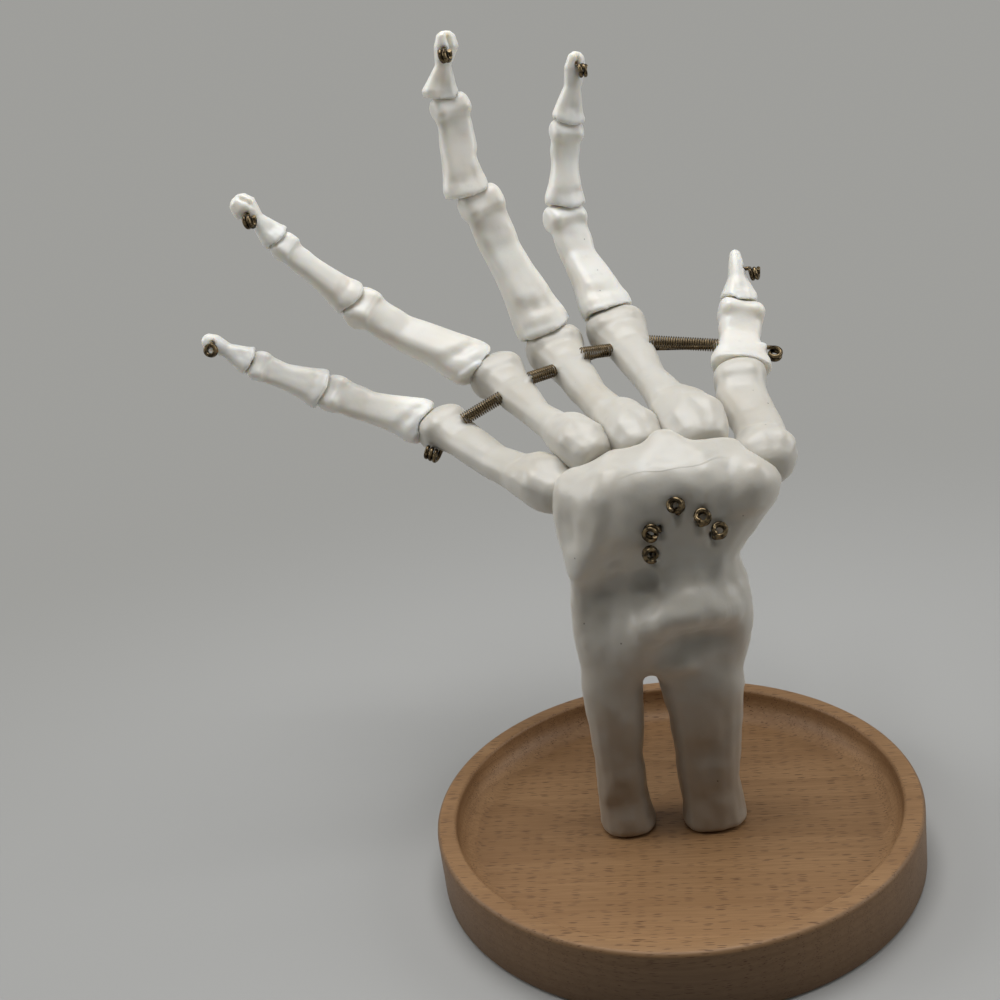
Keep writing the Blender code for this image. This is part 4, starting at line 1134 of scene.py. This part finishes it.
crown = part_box("wrist_block")[1].z
for finger in FINGERS:
    across, down, beside, tilt = PALM_EYES[finger]
    outwards = Vector((0.0, -1.0, 0.0))
    inside = Vector((across, 0.0, crown - down))
    corner, palm_eye = eye_beside(wrist_tree, inside, outwards, beside, tilt)
    inner = corner - outwards * PALM_HOLE_DEPTH
    runs = [("stand", [palm_eye[0], corner, inner])]
    kinds = ["metacarpal", *PHALANX_KINDS]
    if finger == "thumb":
        kinds.remove("middle_phalanx")
    for kind in kinds:
        node = f"{finger}_{kind}"
        into, length = bone_frames[node]
        body = "stand" if kind == "metacarpal" or node == "thumb_proximal_phalanx" else node
        start = into.translation
        if body != runs[-1][0]:
            runs[-1][1].append(start)
            runs.append((body, [start]))
        elif kind != "metacarpal":
            runs[-1][1].append(start)
        else:
            runs[-1][1].append(into @ Vector((0.0, 0.0, FOOT_SHARE * length)))
        if kind in WIRE_BOWS:
            bow, share = WIRE_BOWS[kind]
            runs[-1][1].append(into @ Vector((0.0, bow, share * length)))
    share, way, beside, standing = TIP_EYES[finger]
    turn = into @ Vector((0.0, 0.0, share * length))
    bone_way = into.to_3x3() @ Vector((0.0, 0.0, 1.0))
    way = (way - way.dot(bone_way) * bone_way).normalized()
    tip_tree = surface_tree(castings[node])
    if standing:
        tip_eye = eye_beyond(tip_tree, turn, way, way.cross(beside))
        runs[-1][1].extend([turn, tip_eye[0]])
    else:
        corner, tip_eye = eye_beside(tip_tree, turn, way, beside)
        runs[-1][1].extend([turn, corner, tip_eye[0]])
    for index, (body, points) in enumerate(runs):
        route = rounded(points)
        if index == 0:
            route = palm_eye[::-1] + route[1:]
        if index == len(runs) - 1:
            route = route[:-1] + tip_eye
        run_name = f"{finger}_wire_run_{index + 1}"
        add_wire(run_name, route, WIRE_RADIUS, bronze, body, f"{finger}_wire")

# The cross wire runs through the heads of the metacarpals and the thumb, and four close-wound
# springs on it hold them apart. Its ends are curled into eyes too.
SPRING_RADIUS = 0.0019
SPRING_WIRE_RADIUS = 0.00021
SPRING_PITCH = 0.00067
SPRING_POINTS = 18
# How far each spring runs on into the bones at its two ends
SPRING_SEATS = {
    "spring_little_finger_to_ring_finger": (0.0022, 0.0024),
    "spring_ring_finger_to_long_finger": (0.0013, 0.0010),
    "spring_long_finger_to_forefinger": (0.0028, 0.0014),
    "spring_forefinger_to_thumb": (0.0020, 0.0022),
}
SPRING_BRONZE = (0.180, 0.132, 0.074)
LITTLE_EYE_AXIS = Vector((-0.85, 0.15, 0.48))
LITTLE_EYE_TURNS = 2.8
THUMB_EYE_AXIS = Vector((0.0, 0.5, -0.85))

spring_bronze = Finish("spring_bronze", metallic=1.0)
rubbed = spring_bronze.place.noise(500.0, 3.0, 0.6).over(0.40, 0.66)
spring_colour = (rubbed * 0.4 + 0.6).blend(BRONZE_DARK, SPRING_BRONZE)
spring_bronze.paint(base_color=spring_colour, roughness=rubbed * 0.10 + 0.20)

little_tree = surface_tree(castings["little_finger_metacarpal"])
thumb_tree = surface_tree(castings["thumb_proximal_phalanx"])
little_eye = eye_beyond(little_tree, little_turn, LITTLE_END_WAY, LITTLE_EYE_AXIS, LITTLE_EYE_TURNS)
thumb_eye = eye_beyond(thumb_tree, thumb_turn, THUMB_END_WAY, THUMB_EYE_AXIS)
route = rounded([little_eye[0], little_turn, *crossings, thumb_turn, thumb_eye[0]])
route = little_eye[::-1] + route[1:-1] + thumb_eye
add_wire("cross_wire_strung", route, WIRE_RADIUS, bronze, "stand", "cross_wire")

for node, (start, end) in zip(SPRINGS, lines):
    way = (end - start).normalized()
    before, after = SPRING_SEATS[node]
    start, end = start - way * before, end + way * after
    side = way.orthogonal().normalized()
    other = way.cross(side)
    curls = round((end - start).length / SPRING_PITCH)
    radius = SPRING_RADIUS - SPRING_WIRE_RADIUS
    coil = []
    for k in range(curls * SPRING_POINTS + 1):
        angle = tau * k / SPRING_POINTS
        around = radius * (side * cos(angle) + other * sin(angle))
        coil.append(start + around + (end - start) * k / (curls * SPRING_POINTS))
    add_wire(f"{node}_coil", coil, SPRING_WIRE_RADIUS, spring_bronze, "stand", node)

bpy.context.view_layer.update()
